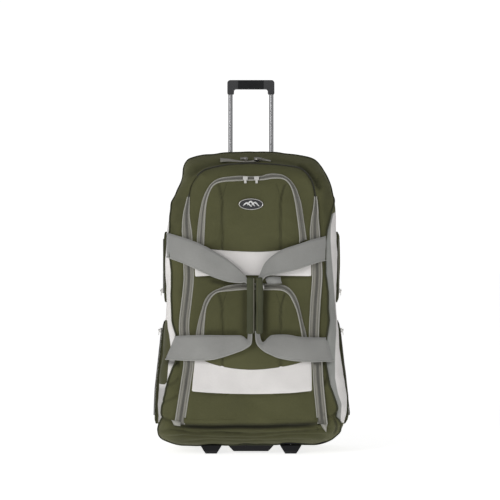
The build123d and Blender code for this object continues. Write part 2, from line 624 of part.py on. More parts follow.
shoulder_slope = (0, -(52 - 16), 30)
main_zip = {"x": 12.0, "y": FRONT_Y + 24, "z": BODY_TOP - 52 + 28.8}
pocket_zip = {"x": 12.0, "z": 593.0}
main_height = LID_GAP + LID_THICK + FIT_GAP
pocket_height = 3.0
for side_name, side in (("left", -1), ("right", 1)):
    on_shoulder = zip_plane((side * main_zip["x"], main_zip["y"], main_zip["z"]), shoulder_slope)
    save(zip_slider(on_shoulder, FIT_GAP, main_height), f"main_slider_{side_name}")
    save(zip_pull(on_shoulder, main_height, side * MAIN_PULL_TURN), f"main_pull_{side_name}")
    on_pocket = zip_plane((side * pocket_zip["x"], POCKET_EDGE_Y, pocket_zip["z"]), TOWARDS_VIEWER)
    save(zip_slider(on_pocket, FIT_GAP, pocket_height), f"upper_pocket_slider_{side_name}")
    save(zip_pull(on_pocket, pocket_height), f"upper_pocket_pull_{side_name}")

    for pocket_name, spot in SIDE_SLIDERS.items():
        on_side = zip_plane((side * spot["x"], SIDE_SLIDER_Y, spot["z"]), (side * 180, 0, spot["lean"]))
        with BuildPart() as side_slider:
            add(zip_slider(on_side, FIT_GAP, pocket_height, upright=True))
            add(zip_pull(on_side, pocket_height - PULL_PLAY))
        save(side_slider.part, f"{side_name}_{pocket_name}_side_slider")

with BuildPart() as lower_pocket_slider:
    on_pocket = zip_plane((23, POCKET_EDGE_Y, 361), TOWARDS_VIEWER)
    add(zip_slider(on_pocket, FIT_GAP, pocket_height))
    add(zip_pull(on_pocket, pocket_height - PULL_PLAY))
save(lower_pocket_slider.part, "lower_pocket_slider")
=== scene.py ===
"""Looks of a rolling duffel bag: skins, pockets, zips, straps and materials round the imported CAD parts."""

import math

import bmesh
import bpy
import numpy as np
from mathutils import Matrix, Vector, noise


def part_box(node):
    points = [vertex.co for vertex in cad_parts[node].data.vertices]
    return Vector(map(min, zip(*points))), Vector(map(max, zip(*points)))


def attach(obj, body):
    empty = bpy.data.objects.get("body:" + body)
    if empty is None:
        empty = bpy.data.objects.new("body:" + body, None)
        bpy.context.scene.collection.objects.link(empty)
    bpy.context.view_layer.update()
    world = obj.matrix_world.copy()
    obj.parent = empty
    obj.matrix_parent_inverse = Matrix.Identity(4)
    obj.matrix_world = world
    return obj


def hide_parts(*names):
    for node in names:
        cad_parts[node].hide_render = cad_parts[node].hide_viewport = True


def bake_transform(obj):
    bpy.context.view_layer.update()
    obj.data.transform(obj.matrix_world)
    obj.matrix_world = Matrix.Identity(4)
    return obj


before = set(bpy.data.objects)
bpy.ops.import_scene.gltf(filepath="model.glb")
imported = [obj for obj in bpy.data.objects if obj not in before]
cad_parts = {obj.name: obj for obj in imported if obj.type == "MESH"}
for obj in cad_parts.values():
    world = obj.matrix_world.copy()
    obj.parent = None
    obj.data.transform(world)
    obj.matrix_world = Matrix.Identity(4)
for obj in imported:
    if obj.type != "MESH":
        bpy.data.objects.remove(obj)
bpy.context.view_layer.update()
MM = 0.001
FRONT, BACK = -120.0, 160.0  # the body's front and back faces
CHUNK = 2000  # points handled at a time where distances are worked out
CLOTH = 2.2  # thickness of the shell's cloth
WEBBING_THICK = 2.4
EDGE_ROUND, BACK_ROUND = 38, 14  # how far the body's front and back edges are rounded
SPINE_LOW, SPINE_HIGH = 150, 540  # heights between which the rings of the lid and the back close
ZIP_FOOT, FOOT_HALF, ZIP_TOP = 67, 152, 627  # the main zip's foot, half its width there, and its top
HINGE_HALF = 143  # half the width of the strip at the lid's foot
SLEEVE_Y, SLEEVE_LOW, SLEEVE_LENGTH = -156.4, 262, 120
BADGE_HALF_WIDTH, BADGE_HALF_HEIGHT, BADGE_CENTRE = 25.2, 11.2, 537.5
GREEN = (0.071, 0.071, 0.031)
DARK_GREEN = tuple(c * 0.85 for c in GREEN)
LIGHT = (0.67, 0.65, 0.635)
WEBBING = (0.250, 0.250, 0.238)
TAPE = (0.215, 0.208, 0.180)


# ---------------------------------------------------------------- materials
def new_material(name, colour, roughness, metallic=0.0):
    material = bpy.data.materials.new(name)
    material.use_nodes = True
    shader = material.node_tree.nodes["Principled BSDF"]
    shader.inputs["Base Color"].default_value = (*colour, 1)
    shader.inputs["Roughness"].default_value = roughness
    shader.inputs["Metallic"].default_value = metallic
    material.diffuse_color = (*colour, 1)
    return material, material.node_tree, shader


def math_node(tree, operation, a, b=None, c=None):
    node = tree.nodes.new("ShaderNodeMath")
    node.operation = operation
    for socket, value in zip(node.inputs, (a, b, c)):
        if value is None:
            continue
        if isinstance(value, (int, float)):
            socket.default_value = value
        else:
            tree.links.new(value, socket)
    return node.outputs[0]


def noise_node(tree, coordinates, scale, detail=3.0, roughness=0.55):
    node = tree.nodes.new("ShaderNodeTexNoise")
    node.inputs["Scale"].default_value = scale
    node.inputs["Detail"].default_value = detail
    node.inputs["Roughness"].default_value = roughness
    tree.links.new(coordinates, node.inputs["Vector"])
    return node.outputs["Fac"]


def ramp_range(tree, value, low, high):
    node = tree.nodes.new("ShaderNodeMapRange")
    tree.links.new(value, node.inputs["Value"])
    node.inputs["From Min"].default_value = 0.25
    node.inputs["From Max"].default_value = 0.75
    node.inputs["To Min"].default_value = low
    node.inputs["To Max"].default_value = high
    return node.outputs["Result"]


def tint(tree, shader, colour, factor):
    """Base colour multiplied by a grey factor that varies over the surface."""
    mix = tree.nodes.new("ShaderNodeMix")
    mix.data_type = "RGBA"
    mix.blend_type = "MULTIPLY"
    mix.inputs["Factor"].default_value = 1.0
    mix.inputs["A"].default_value = (*colour, 1)
    combine = tree.nodes.new("ShaderNodeCombineColor")
    for socket in combine.inputs[:3]:
        tree.links.new(factor, socket)
    tree.links.new(combine.outputs[0], mix.inputs["B"])
    tree.links.new(mix.outputs["Result"], shader.inputs["Base Color"])
    return mix


def bump(tree, shader, height, strength, distance):
    node = tree.nodes.new("ShaderNodeBump")
    node.inputs["Strength"].default_value = strength
    node.inputs["Distance"].default_value = distance
    tree.links.new(height, node.inputs["Height"])
    tree.links.new(node.outputs["Normal"], shader.inputs["Normal"])


def coordinates_of(tree, kind):
    node = tree.nodes.new("ShaderNodeTexCoord")
    return node.outputs[kind]


def attribute(tree, name):
    node = tree.nodes.new("ShaderNodeAttribute")
    node.attribute_name = name
    return node.outputs["Fac"]


def painted_fold_shade(tree):
    """Painted shade: how much light is left where shade is painted into the cloth, from the mesh's "fold"
    attribute.
    """
    return math_node(tree, "MULTIPLY_ADD", attribute(tree, "fold"), -0.72, 1.0)


def woven(name, colour, thread=0.9, contrast=0.16, roughness=0.86, sheen=0.25, depth=0.16, second=None):
    """Plain woven cloth: threads in two directions, slow shade changes, and a little dust in the weave.

    A second colour fills the part of the mesh where its "second" attribute is positive."""
    material, tree, shader = new_material(name, colour, roughness)
    place = coordinates_of(tree, "Object")
    split = tree.nodes.new("ShaderNodeSeparateXYZ")
    tree.links.new(place, split.inputs[0])
    turns = 2 * math.pi / (thread * MM)
    across = math_node(tree, "ADD", split.outputs[0], split.outputs[1])
    warp = math_node(tree, "SINE", math_node(tree, "MULTIPLY", across, turns))
    weft = math_node(tree, "SINE", math_node(tree, "MULTIPLY_ADD", split.outputs[2], turns, 0.3))
    threads = math_node(tree, "MULTIPLY", warp, weft)
    slow = ramp_range(tree, noise_node(tree, place, 9.0), 0.88, 1.12)
    speck = ramp_range(tree, noise_node(tree, place, 900.0, 2.0), 1 - contrast, 1 + contrast)
    shade = math_node(tree, "MULTIPLY", slow, speck)
    lit = math_node(tree, "MULTIPLY_ADD", threads, 0.10, 1.0)
    # the painted shade of the "fold" attribute darkens the colour
    factor = math_node(tree, "MULTIPLY", math_node(tree, "MULTIPLY", shade, lit), painted_fold_shade(tree))
    multiply = tint(tree, shader, colour, factor)
    if second:
        share = tree.nodes.new("ShaderNodeMapRange")
        tree.links.new(attribute(tree, "second"), share.inputs["Value"])
        share.inputs["From Min"].default_value = -0.5
        share.inputs["From Max"].default_value = 0.5
        two = tree.nodes.new("ShaderNodeMix")
        two.data_type = "RGBA"
        two.inputs["A"].default_value = (*colour, 1)
        two.inputs["B"].default_value = (*second, 1)
        tree.links.new(share.outputs["Result"], two.inputs["Factor"])
        tree.links.new(two.outputs["Result"], multiply.inputs["A"])
    rough = ramp_range(tree, noise_node(tree, place, 40.0), roughness - 0.06, min(1.0, roughness + 0.07))
    tree.links.new(rough, shader.inputs["Roughness"])
    creases = math_node(tree, "MULTIPLY", noise_node(tree, place, 55.0, 4.0), 2.2)
    bump(tree, shader, math_node(tree, "ADD", threads, creases), 0.55, depth * MM)
    shader.inputs["Sheen Weight"].default_value = sheen
    shader.inputs["Sheen Roughness"].default_value = 0.5
    shader.inputs["Sheen Tint"].default_value = (*[min(1.0, c * 3 + 0.1) for c in colour], 1)
    shader.inputs["Specular IOR Level"].default_value = 0.22
    return material


def ribbed(name, colour, rib=1.6, along=2.4, roughness=0.7, strength=0.7):
    """Webbing or tape: a herringbone across its width, from the UV map, which is in metres."""
    material, tree, shader = new_material(name, colour, roughness)
    place = coordinates_of(tree, "UV")
    split = tree.nodes.new("ShaderNodeSeparateXYZ")
    tree.links.new(place, split.inputs[0])
    length = math_node(tree, "MULTIPLY", split.outputs[0], 2 * math.pi / (along * MM))
    zigzag = math_node(tree, "PINGPONG", split.outputs[1], 2 * rib * MM)
    slant = math_node(tree, "MULTIPLY", zigzag, 2 * math.pi / (rib * MM))
    weave = math_node(tree, "SINE", math_node(tree, "ADD", length, slant))
    ribs = math_node(tree, "SINE", math_node(tree, "MULTIPLY", split.outputs[1], 2 * math.pi / (rib * MM)))
    height = math_node(tree, "ADD", weave, ribs)
    solid = coordinates_of(tree, "Object")
    slow = ramp_range(tree, noise_node(tree, solid, 14.0), 0.90, 1.10)
    fuzz = ramp_range(tree, noise_node(tree, solid, 1100.0, 2.0), 0.86, 1.14)
    lit = math_node(tree, "MULTIPLY_ADD", height, 0.07, 1.0)
    worn = math_node(tree, "MULTIPLY", math_node(tree, "MULTIPLY", slow, fuzz), lit)
    # the painted shade of the "fold" attribute darkens the colour
    tint(tree, shader, colour, math_node(tree, "MULTIPLY", worn, painted_fold_shade(tree)))
    bump(tree, shader, height, strength, 0.22 * MM)
    shader.inputs["Sheen Weight"].default_value = 0.2
    shader.inputs["Specular IOR Level"].default_value = 0.3
    return material


def moulded(name, colour, roughness, grain=700.0, depth=0.05, coat=0.0, gloss=0.3):
    """Moulded plastic or rubber with a fine grain and rubbed patches."""
    material, tree, shader = new_material(name, colour, roughness)
    place = coordinates_of(tree, "Object")
    tint(tree, shader, colour, ramp_range(tree, noise_node(tree, place, 30.0), 0.85, 1.2))
    patches = noise_node(tree, place, 60.0, 5.0)
    scuffs = ramp_range(tree, patches, max(0.05, roughness - 0.12), roughness + 0.14)
    tree.links.new(scuffs, shader.inputs["Roughness"])
    bump(tree, shader, noise_node(tree, place, grain, 2.0), 0.5, depth * MM)
    shader.inputs["Coat Weight"].default_value = coat
    shader.inputs["Specular IOR Level"].default_value = gloss
    return material


def metal(name, colour, roughness, streaks=(1, 1, 0.03), grain=900.0):
    """Drawn or plated metal: fine streaks along one direction and faint smudges."""
    material, tree, shader = new_material(name, colour, roughness, 1.0)
    place = coordinates_of(tree, "Object")
    mapping = tree.nodes.new("ShaderNodeMapping")
    mapping.inputs["Scale"].default_value = streaks
    tree.links.new(place, mapping.inputs[0])
    lines = noise_node(tree, mapping.outputs[0], grain, 3.0)
    tint(tree, shader, colour, ramp_range(tree, lines, 0.9, 1.1))
    smudge = noise_node(tree, place, 35.0, 4.0)
    rough = ramp_range(tree, smudge, roughness * 0.8, roughness * 1.3)
    tree.links.new(rough, shader.inputs["Roughness"])
    bump(tree, shader, lines, 0.25, 0.02 * MM)
    return material


MATERIALS = {
    "green": woven("green_cloth", GREEN),
    "dark_green": woven("dark_green_cloth", DARK_GREEN),
    "light": woven("light_cloth", LIGHT, contrast=0.05, sheen=0.1),
    # the right side's second colour is a painted shade of the light cloth
    "right_side": woven("light_cloth_with_painted_shade", LIGHT, contrast=0.05, sheen=0.1, second=(0.27, 0.275, 0.26)),
    "left_side": woven("light_and_green_cloth", LIGHT, contrast=0.05, sheen=0.1, second=DARK_GREEN),
    "lining": woven("lining_cloth", (0.055, 0.055, 0.052), thread=0.6, sheen=0.1),
    "sleeve": woven("sleeve_cloth", (0.056, 0.060, 0.034), sheen=0.15),
    "piping": woven("piping_cord", (0.30, 0.295, 0.265), thread=1.1, contrast=0.06),
    "dark_piping": woven("dark_piping_cord", (0.034, 0.036, 0.018), thread=1.1),
    "webbing": ribbed("carry_webbing", WEBBING),
    "binding": ribbed("webbing_edge", (0.33, 0.33, 0.31), rib=1.0),
    "tape": ribbed("zip_tape", TAPE, rib=0.9, along=1.2, strength=0.4),
    "coil": moulded("zip_coil", (0.10, 0.098, 0.085), 0.45, grain=500.0),
    "edging": woven("grip_edging", (0.115, 0.112, 0.085), thread=0.5),
    "thread": woven("sewing_thread", (0.085, 0.085, 0.045), thread=0.4),
    "black": moulded("black_plastic", (0.006, 0.006, 0.007), 0.5, grain=500.0, gloss=0.15),
    "grip": moulded("grip_rubber", (0.007, 0.007, 0.008), 0.6, grain=900.0, depth=0.08, gloss=0.18),
    "grip_end": moulded("grip_end", (0.030, 0.030, 0.032), 0.5),
    "button": moulded("button_plastic", (0.11, 0.11, 0.112), 0.4),
    "skid": moulded("skid_plastic", (0.005, 0.005, 0.006), 0.3, grain=200.0, coat=0.08, gloss=0.15),
    "tyre": moulded("tyre_rubber", (0.018, 0.018, 0.018), 0.72, grain=800.0, depth=0.12),
    "hub": moulded("hub_plastic", (0.13, 0.13, 0.132), 0.5),
    "tube": metal("tube_metal", (0.20, 0.20, 0.205), 0.26),
    "steel": metal("steel", (0.50, 0.50, 0.51), 0.3, (1, 1, 1)),
    "nickel": metal("nickel", (0.52, 0.51, 0.49), 0.25, (1, 1, 1)),
    "emblem": moulded("silver_mark", (0.62, 0.62, 0.61), 0.4, grain=100.0),
    "badge": moulded("badge_enamel", (0.012, 0.012, 0.014), 0.25, grain=100.0, coat=0.4),
}


def use(obj, *names):
    obj.data.materials.clear()
    for name in names:
        obj.data.materials.append(MATERIALS[name])


# ---------------------------------------------------------------- mesh tools
def add_object(name, data):
    obj = bpy.data.objects.new(name, data)
    bpy.context.scene.collection.objects.link(obj)
    return obj


def mesh_object(name, vertices, faces, material, uv=None, smooth=True):
    mesh = bpy.data.meshes.new(name)
    mesh.from_pydata((np.asarray(vertices, float) * MM).tolist(), [], [list(f) for f in faces])
    if uv is not None:
        layer = mesh.uv_layers.new(name="UVMap")
        loops = np.empty(len(mesh.loops), np.int32)
        mesh.loops.foreach_get("vertex_index", loops)
        layer.data.foreach_set("uv", (np.asarray(uv, float) * MM)[loops].astype(np.float32).ravel())
    mesh.polygons.foreach_set("use_smooth", [smooth] * len(mesh.polygons))
    mesh.update()
    obj = add_object(name, mesh)
    use(obj, *([material] if isinstance(material, str) else material))
    return obj


def grid(name, points, material, wrap_u=False, wrap_v=False, flip=False, cap=False, thickness=0.0, lined=0):
    """A sheet of quads from points in rows u and columns v. lined=1 gives its back the next material."""
    points = np.asarray(points, float)
    nu, nv = points.shape[:2]
    index = np.arange(nu * nv).reshape(nu, nv)
    if wrap_u:
        index = np.vstack([index, index[:1]])
    if wrap_v:
        index = np.hstack([index, index[:, :1]])
    a, b, c, d = index[:-1, :-1], index[1:, :-1], index[1:, 1:], index[:-1, 1:]
    order = [a, d, c, b] if flip else [a, b, c, d]
    faces = np.stack([x.ravel() for x in order], 1).tolist()
    if cap:
        faces += [list(index[0, :nv])[:: 1 if flip else -1], list(index[nu - 1, :nv])[:: -1 if flip else 1]]
    along = np.concatenate([[0], np.cumsum(np.linalg.norm(np.diff(points.mean(1), axis=0), axis=1))])
    side = np.concatenate([[0], np.cumsum(np.linalg.norm(np.diff(points.mean(0), axis=0), axis=1))])
    if wrap_v or side[-1] < 1e-6:
        side = np.arange(nv) * np.linalg.norm(np.diff(points, axis=1), axis=2).mean()
    uv = np.stack(np.meshgrid(along, side, indexing="ij"), -1).reshape(-1, 2)
    obj = mesh_object(name, points.reshape(-1, 3), faces, material, uv)
    if thickness:
        solid = obj.modifiers.new("thickness", "SOLIDIFY")
        solid.thickness = thickness * MM
        solid.offset = -1
        solid.material_offset = lined
    return obj


def smooth_path(points, count, closed=False):
    """A smooth curve through the points, as evenly spaced points."""
    p = np.asarray(points, float)
    q = np.vstack([p[-1], p, p[0], p[1]]) if closed else np.vstack([2 * p[0] - p[1], p, 2 * p[-1] - p[-2]])
    out = []
    for i in range(1, len(q) - 2):
        t = np.linspace(0, 1, 24, endpoint=False)[:, None]
        a, b, c, d = q[i - 1], q[i], q[i + 1], q[i + 2]
        bend = (2 * a - 5 * b + 4 * c - d) * t**2
        out.append(0.5 * (2 * b + (c - a) * t + bend + (3 * b - a - 3 * c + d) * t**3))
    out = np.vstack(out + [p[:1] if closed else p[-1:]])
    out = resample(out, count + 1 if closed else count)
    return out[:-1] if closed else out


def resample(points, count):
    points = np.asarray(points, float)
    steps = np.linalg.norm(np.diff(points, axis=0), axis=1)
    s = np.concatenate([[0], np.cumsum(steps)])
    at = np.linspace(0, s[-1], count)
    return np.stack([np.interp(at, s, points[:, k]) for k in range(points.shape[1])], 1)


def tangents(path, closed=False):
    if closed:
        t = np.roll(path, -1, 0) - np.roll(path, 1, 0)
    else:
        t = np.gradient(path, axis=0)
    return t / np.maximum(np.linalg.norm(t, axis=1, keepdims=True), 1e-9)


def tube(name, path, radius, material, closed=False, sides=8):
    path = np.asarray(path, float)
    t = tangents(path, closed)
    up = np.array([0.0, -1.0, 0.0]) - t * (t @ np.array([0.0, -1.0, 0.0]))[:, None]
    bad = np.linalg.norm(up, axis=1) < 0.2
    up[bad] = np.array([0, 0, 1.0]) - t[bad] * t[bad, 2:3]
    up /= np.linalg.norm(up, axis=1, keepdims=True)
    side = np.cross(t, up)
    angle = np.linspace(0, 2 * math.pi, sides, endpoint=False)
    r = np.broadcast_to(np.asarray(radius, float), (len(path),))[:, None, None]
    ring = up[:, None] * np.cos(angle)[None, :, None] + side[:, None] * np.sin(angle)[None, :, None]
    return grid(name, path[:, None] + ring * r, material, wrap_u=closed, wrap_v=True, cap=not closed)


def sweep(name, path, side, normal, profile, material, closed=False, cap=True):
    """A closed or open cross-section, given as (sideways, outwards) pairs, carried along a path."""
    profile = np.asarray(profile, float)
    if profile.ndim == 2:
        profile = np.broadcast_to(profile, (len(path), *profile.shape))
    points = path[:, None] + side[:, None] * profile[..., :1] + normal[:, None] * profile[..., 1:]
    return grid(name, points, material, wrap_u=closed, wrap_v=True, cap=cap and not closed)


def rough(point, scale, seed=0.0):
    return noise.noise(Vector((point[0] / scale + seed, point[1] / scale, point[2] / scale + 1.7 * seed)))


# ---------------------------------------------------------------- shape of the body
BODY_LEFT = [
    (0, 19), (60, 19), (118, 19.5), (153, 20.5), (180, 27), (196, 37), (201, 56), (200, 80), (199, 112),
    (197, 150), (193, 200), (188, 250), (182, 303), (182, 340), (183, 380), (184, 420), (183, 470),
    (177, 505), (170, 535), (159, 561), (151, 585), (148, 608), (144, 625), (136, 637), (124, 642),
    (112, 644.5), (79, 649), (46, 651.6), (0, 653.4),
]
BODY_RIGHT = [
    (0, 19), (60, 19), (118, 19.5), (146, 20.5), (171, 29), (186, 43), (198, 62), (203, 82), (206, 115),
    (202, 150), (195, 200), (189, 250), (185, 300), (184, 335), (185, 360), (186, 420), (185.5, 470),
    (184, 505), (182, 535), (176, 561), (170, 585), (159, 610), (150, 625), (138, 636.5), (122, 642),
    (86, 648), (42, 652.3), (0, 653.4),
]
# The main zip's centre line, seen from the front, on the left and on the right.
ZIP_LEFT = [
    (-152, 72), (-150, 84), (-144.5, 119.5), (-138, 162), (-133, 200), (-138, 235), (-142, 262),
    (-142, 290), (-137, 333), (-133, 372), (-133, 400), (-135.5, 461), (-138, 510), (-134.5, 543),
    (-130, 573), (-122, 590), (-109, 605), (-91, 615),
]
ZIP_RIGHT = [
    (153, 68), (151, 84), (147.5, 119.5), (143.6, 162), (141.5, 200), (135.5, 235), (134.5, 262),
    (135.5, 290), (138, 333), (141, 372), (141.5, 400), (137, 461), (136.5, 504), (138, 525), (138, 550),
    (135, 572), (128, 592), (115, 609), (98, 618),
]


def split_path(path, corner_low, corner_high, counts):
    """The path cut at the points nearest to two corners, each stretch evenly resampled."""
    path = resample(path, 1500)
    low = int(np.argmin(np.linalg.norm(path - corner_low, axis=1)))
    high = int(np.argmin(np.linalg.norm(path - corner_high, axis=1)))
    parts = [path[: low + 1], path[low : high + 1], path[high:]]
    done = [resample(part, n + 1)[:-1] for part, n in zip(parts, counts)]
    return np.vstack(done + [path[-1:]])


COUNTS = (60, 170, 76)


def loop_of(left, right):
    """One closed loop from the bottom centre, seen from the front: right side up, left side down."""
    return np.vstack([right, left[::-1][1:-1]])


right_body = split_path(smooth_path(BODY_RIGHT, 600), (188, 46), (150, 634), COUNTS)
left_body = split_path(smooth_path(BODY_LEFT, 600), (190, 44), (144, 634), COUNTS)
OUTLINE = loop_of(left_body * (-1, 1), right_body)


def whole_zip(side, points, crown):
    """Half of the zip's line: out along the foot, up the side, and over the top to the middle."""
    foot_line = resample([(side, ZIP_FOOT), (side * FOOT_HALF, ZIP_FOOT)], 20)
    return np.vstack([[(0, ZIP_FOOT)], foot_line, smooth_path(points + [crown], 120), [(0, ZIP_TOP)]])


zip_right = whole_zip(1, ZIP_RIGHT, (55, 624))
zip_left = whole_zip(-1, ZIP_LEFT, (-50, 624))
zip_right = split_path(zip_right, (FOOT_HALF, ZIP_FOOT), (122, 594), COUNTS)
zip_left = split_path(zip_left, (-FOOT_HALF, ZIP_FOOT), (-119, 594), COUNTS)
OPENING = loop_of(zip_left, zip_right)
N = len(OUTLINE)
HEIGHT = OUTLINE[:, 1]
inward = OPENING - OUTLINE
REACH = np.linalg.norm(inward, axis=1)
inward = inward / REACH[:, None]
# How deep and how wide the front edge is rounded: gently at the sides, and far over the top.
top_share = np.clip((HEIGHT - 560) / 80, 0, 1) ** 1.5
low_share = np.clip((90 - HEIGHT) / 60, 0, 1)
ROUND_IN = EDGE_ROUND + 24 * top_share + 8 * low_share
ROUND_BACK = EDGE_ROUND + 84 * top_share + 34 * low_share


def to_segments(points, a, b):
    """For each point and each segment from a to b: where along it is nearest (0 to 1), and how far."""
    ab = b - a
    share = np.clip(((points[:, None] - a) * ab).sum(-1) / np.maximum((ab**2).sum(-1), 1e-9), 0, 1)
    return share, np.linalg.norm(points[:, None] - a - ab * share[..., None], axis=-1)


def front_y(x, z):
    """Depth of the body's front surface at any point of the front view."""
    xz = np.stack([np.asarray(x, float), np.asarray(z, float)], -1)
    shape = xz.shape[:-1]
    xz = xz.reshape(-1, 2)
    out = np.empty(len(xz))
    for start in range(0, len(xz), CHUNK):
        _, d = to_segments(xz[start : start + CHUNK], OUTLINE, np.roll(OUTLINE, -1, 0))
        weight = np.exp(-((d - d.min(1, keepdims=True)) / 9.0))
        weight /= weight.sum(1, keepdims=True)
        round_in, round_back = (weight * ROUND_IN).sum(1), (weight * ROUND_BACK).sum(1)
        share = np.clip(1 - d.min(1) / round_in, 0, 1)
        out[start : start + CHUNK] = FRONT + round_back * (1 - np.sqrt(1 - share**2))
    return out.reshape(shape)


def body_profiles():
    """For each point round the outline: a line from the opening over the front edge to the back."""
    lines = []
    for i in range(N):
        flat = np.linspace(REACH[i], min(REACH[i], ROUND_IN[i]), 10)
        first = math.asin(max(0.0, 1 - min(REACH[i], ROUND_IN[i]) / ROUND_IN[i]))
        turn = np.linspace(first, math.pi / 2, 26)
        d = np.concatenate([flat[:-1], ROUND_IN[i] * (1 - np.sin(turn))])
        y = np.concatenate([np.full(9, FRONT + ROUND_BACK[i] * (1 - math.cos(first))),
                            FRONT + ROUND_BACK[i] * (1 - np.cos(turn))])
        back = np.linspace(0, math.pi / 2, 9)
        d = np.concatenate([d, BACK_ROUND * (1 - np.cos(back))])
        y = np.concatenate([y, BACK - BACK_ROUND + BACK_ROUND * np.sin(back)])
        xz = OUTLINE[i] + inward[i] * d[:, None]
        lines.append(np.column_stack([xz[:, 0], y, xz[:, 1]]))
    return lines


def seam_depth():
    """Depth of the seam between the front gusset and the panels behind it, round the outline."""
    seam_left = np.interp(HEIGHT, [64, 97, 129, 161, 200, 258, 290, 333, 365, 397, 440, 472, 515, 560],
                          [196, 191, 182, 176, 161, 159, 167, 170, 168.5, 168.5, 172, 175, 172, 163])
    seam_right = np.interp(HEIGHT, [64, 97, 129, 161, 193, 251, 290, 354, 400, 472, 494, 515, 560],
                           [182, 184, 172, 160, 158, 161, 166, 164.5, 157, 157, 160, 169, 175])
    across = np.abs(OUTLINE[:, 0]) - np.where(OUTLINE[:, 0] < 0, seam_left, seam_right)
    turn = np.arcsin(np.clip(1 - np.clip(across, 0.5, 36) / EDGE_ROUND, 0, 1))
    side = FRONT + EDGE_ROUND * (1 - np.cos(turn))
    top = np.clip((HEIGHT - 530) / 90, 0, 1) ** 1.2
    low = np.clip((74 - HEIGHT) / 30, 0, 1)
    return (side * (1 - top) - 18.0 * top) * (1 - low) - 62.0 * low


def cut_profile(line, depths, counts):
    """The profile cut where it passes each depth, each stretch evenly resampled."""
    steps = np.concatenate([[0], np.cumsum(np.linalg.norm(np.diff(line, axis=0), axis=1))])
    y = np.maximum.accumulate(line[:, 1])
    y = y + np.arange(len(y)) * 1e-6
    ends = [0.0] + [float(np.interp(v, y, steps)) for v in depths] + [steps[-1]]
    pieces = [np.linspace(ends[k], ends[k + 1], counts[k] + 1)[:-1] for k in range(len(counts))]
    at = np.concatenate(pieces + [[steps[-1]]])
    return np.stack([np.interp(at, steps, line[:, k]) for k in range(3)], 1)


PARTS = (34, 30, 12)  # front gusset, side panels, back gusset
BACK_SEAM = 112.0
profiles = zip(body_profiles(), seam_depth())
skin = np.array([cut_profile(line, (seam, BACK_SEAM), PARTS) for line, seam in profiles])


def eased(values, low, high):
    """Values drawn smoothly into a range, with no kink at its ends."""
    centre, half = (low + high) / 2, (high - low) / 2
    return centre + half * np.tanh((values - centre) / half * 1.15)


def normals_of(points, wrap=True):
    if wrap:
        u = np.roll(points, -1, 0) - np.roll(points, 1, 0)
    else:
        u = np.gradient(points, axis=0)
    n = np.cross(u, np.gradient(points, axis=1))
    return n / np.maximum(np.linalg.norm(n, axis=2, keepdims=True), 1e-9)


skin_normals = normals_of(skin)
middle = np.array([0, 20, 330])
if ((skin - middle) * skin_normals).sum() < 0:
    skin_normals = -skin_normals


# Folds pressed into the cloth, with painted shade, seen from the front: the line, then width, depth and how
# dark the painted shade is
FOLDS_AND_PAINTED_SHADE = [
    # painted shadow under the lid's foot, in a pressed fold
    ([(-172, 61), (-150, 64), (-109, 62), (-77, 61), (-30, 63), (24, 62), (73, 65), (105, 66), (137, 69),
      (163, 75)], 6.6, 4.5, 1.25),
    ([(-200, 84), (-182, 78), (-163, 70), (-150, 66)], 3.0, 3.0, 0.6),
    ([(-199, 49), (-165, 56), (-120, 49), (-67, 50), (0, 45), (62, 50), (127, 55),
      (172, 59)], 2.6, 3.2, 0.62),
    ([(-186, 40), (-130, 43), (-60, 38), (20, 38), (100, 45), (165, 45)], 2.4, 3.0, 0.5),
    ([(-150, 30), (-90, 33), (-30, 29), (60, 31), (130, 34)], 2.2, 2.4, 0.4),
    ([(-158, 56), (-100, 57), (-40, 56), (30, 57)], 2.0, 2.0, 0.35),
    # painted shade in the recesses by the lid's top corners
    ([(-140, 606), (-124, 607), (-105, 617), (-80, 624), (-40, 631)], 7.0, 3.0, 0.42),
    ([(97, 624), (116, 614), (130, 600), (141, 584), (146, 571)], 6.0, 5.0, 0.8),
    ([(40, 634), (70, 630), (100, 622)], 6.0, 2.0, 0.4),
    ([(140, 596), (149, 570)], 6.0, 3.0, 0.7),
    ([(178, 82), (184, 60), (178, 42)], 3.0, 3.0, 0.8),
    ([(150, 92), (168, 84), (190, 96)], 3.0, 2.5, 0.45),
    ([(-192, 112), (-170, 122), (-154, 130)], 3.2, 2.2, 0.35),
    ([(-180, 150), (-162, 158), (-152, 170)], 3.0, 2.0, 0.3),
    ([(155, 150), (166, 172), (160, 196)], 5.0, 3.0, 0.5),
    ([(-165, 198), (-150, 194)], 5.0, 3.0, 0.6),
    ([(-176, 480), (-160, 500), (-152, 530), (-150, 560)], 9.0, 1.5, 0.18),
    ([(160, 478), (168, 505), (160, 540), (168, 575)], 9.0, 2.0, 0.25),
    # painted shadow under the end of the left lower strap
    ([(-182, 201), (-166, 199), (-150, 199)], 6.0, 2.0, 1.15),
    # painted shadows under the upper straps
    ([(-90, 376), (-60, 369), (-30, 365), (0, 364)], 5.0, 0.0, 0.8),
    ([(22, 366), (50, 374), (92, 391)], 4.0, 0.0, 0.45),
    # painted shadow under the lower light band's edge
    ([(-128, 136), (-70, 132), (4, 130.5), (80, 132.5), (132, 137)], 1.8, 0.0, 0.7),
    # painted shadows beside the grips' sleeves and above the lower straps
    ([(-15, 258), (-15, 300), (-14, 362)], 6.0, 0.0, 0.42),
    ([(30, 258), (31, 300), (31, 360)], 8.0, 0.0, 0.45),
    ([(-100, 264), (-60, 266), (-24, 265)], 5.0, 0.0, 0.45),
    ([(36, 265), (80, 266), (112, 263)], 5.0, 0.0, 0.4),
    # painted shadow under the upper light band's edge
    ([(-121, 380.5), (-75, 383), (0, 383.5), (70, 382.5), (131, 381.5)], 1.8, 0.0, 0.7),
    # painted shadow under the end of the right lower strap
    ([(128, 199), (150, 197), (172, 198)], 4.0, 2.0, 0.8),
]


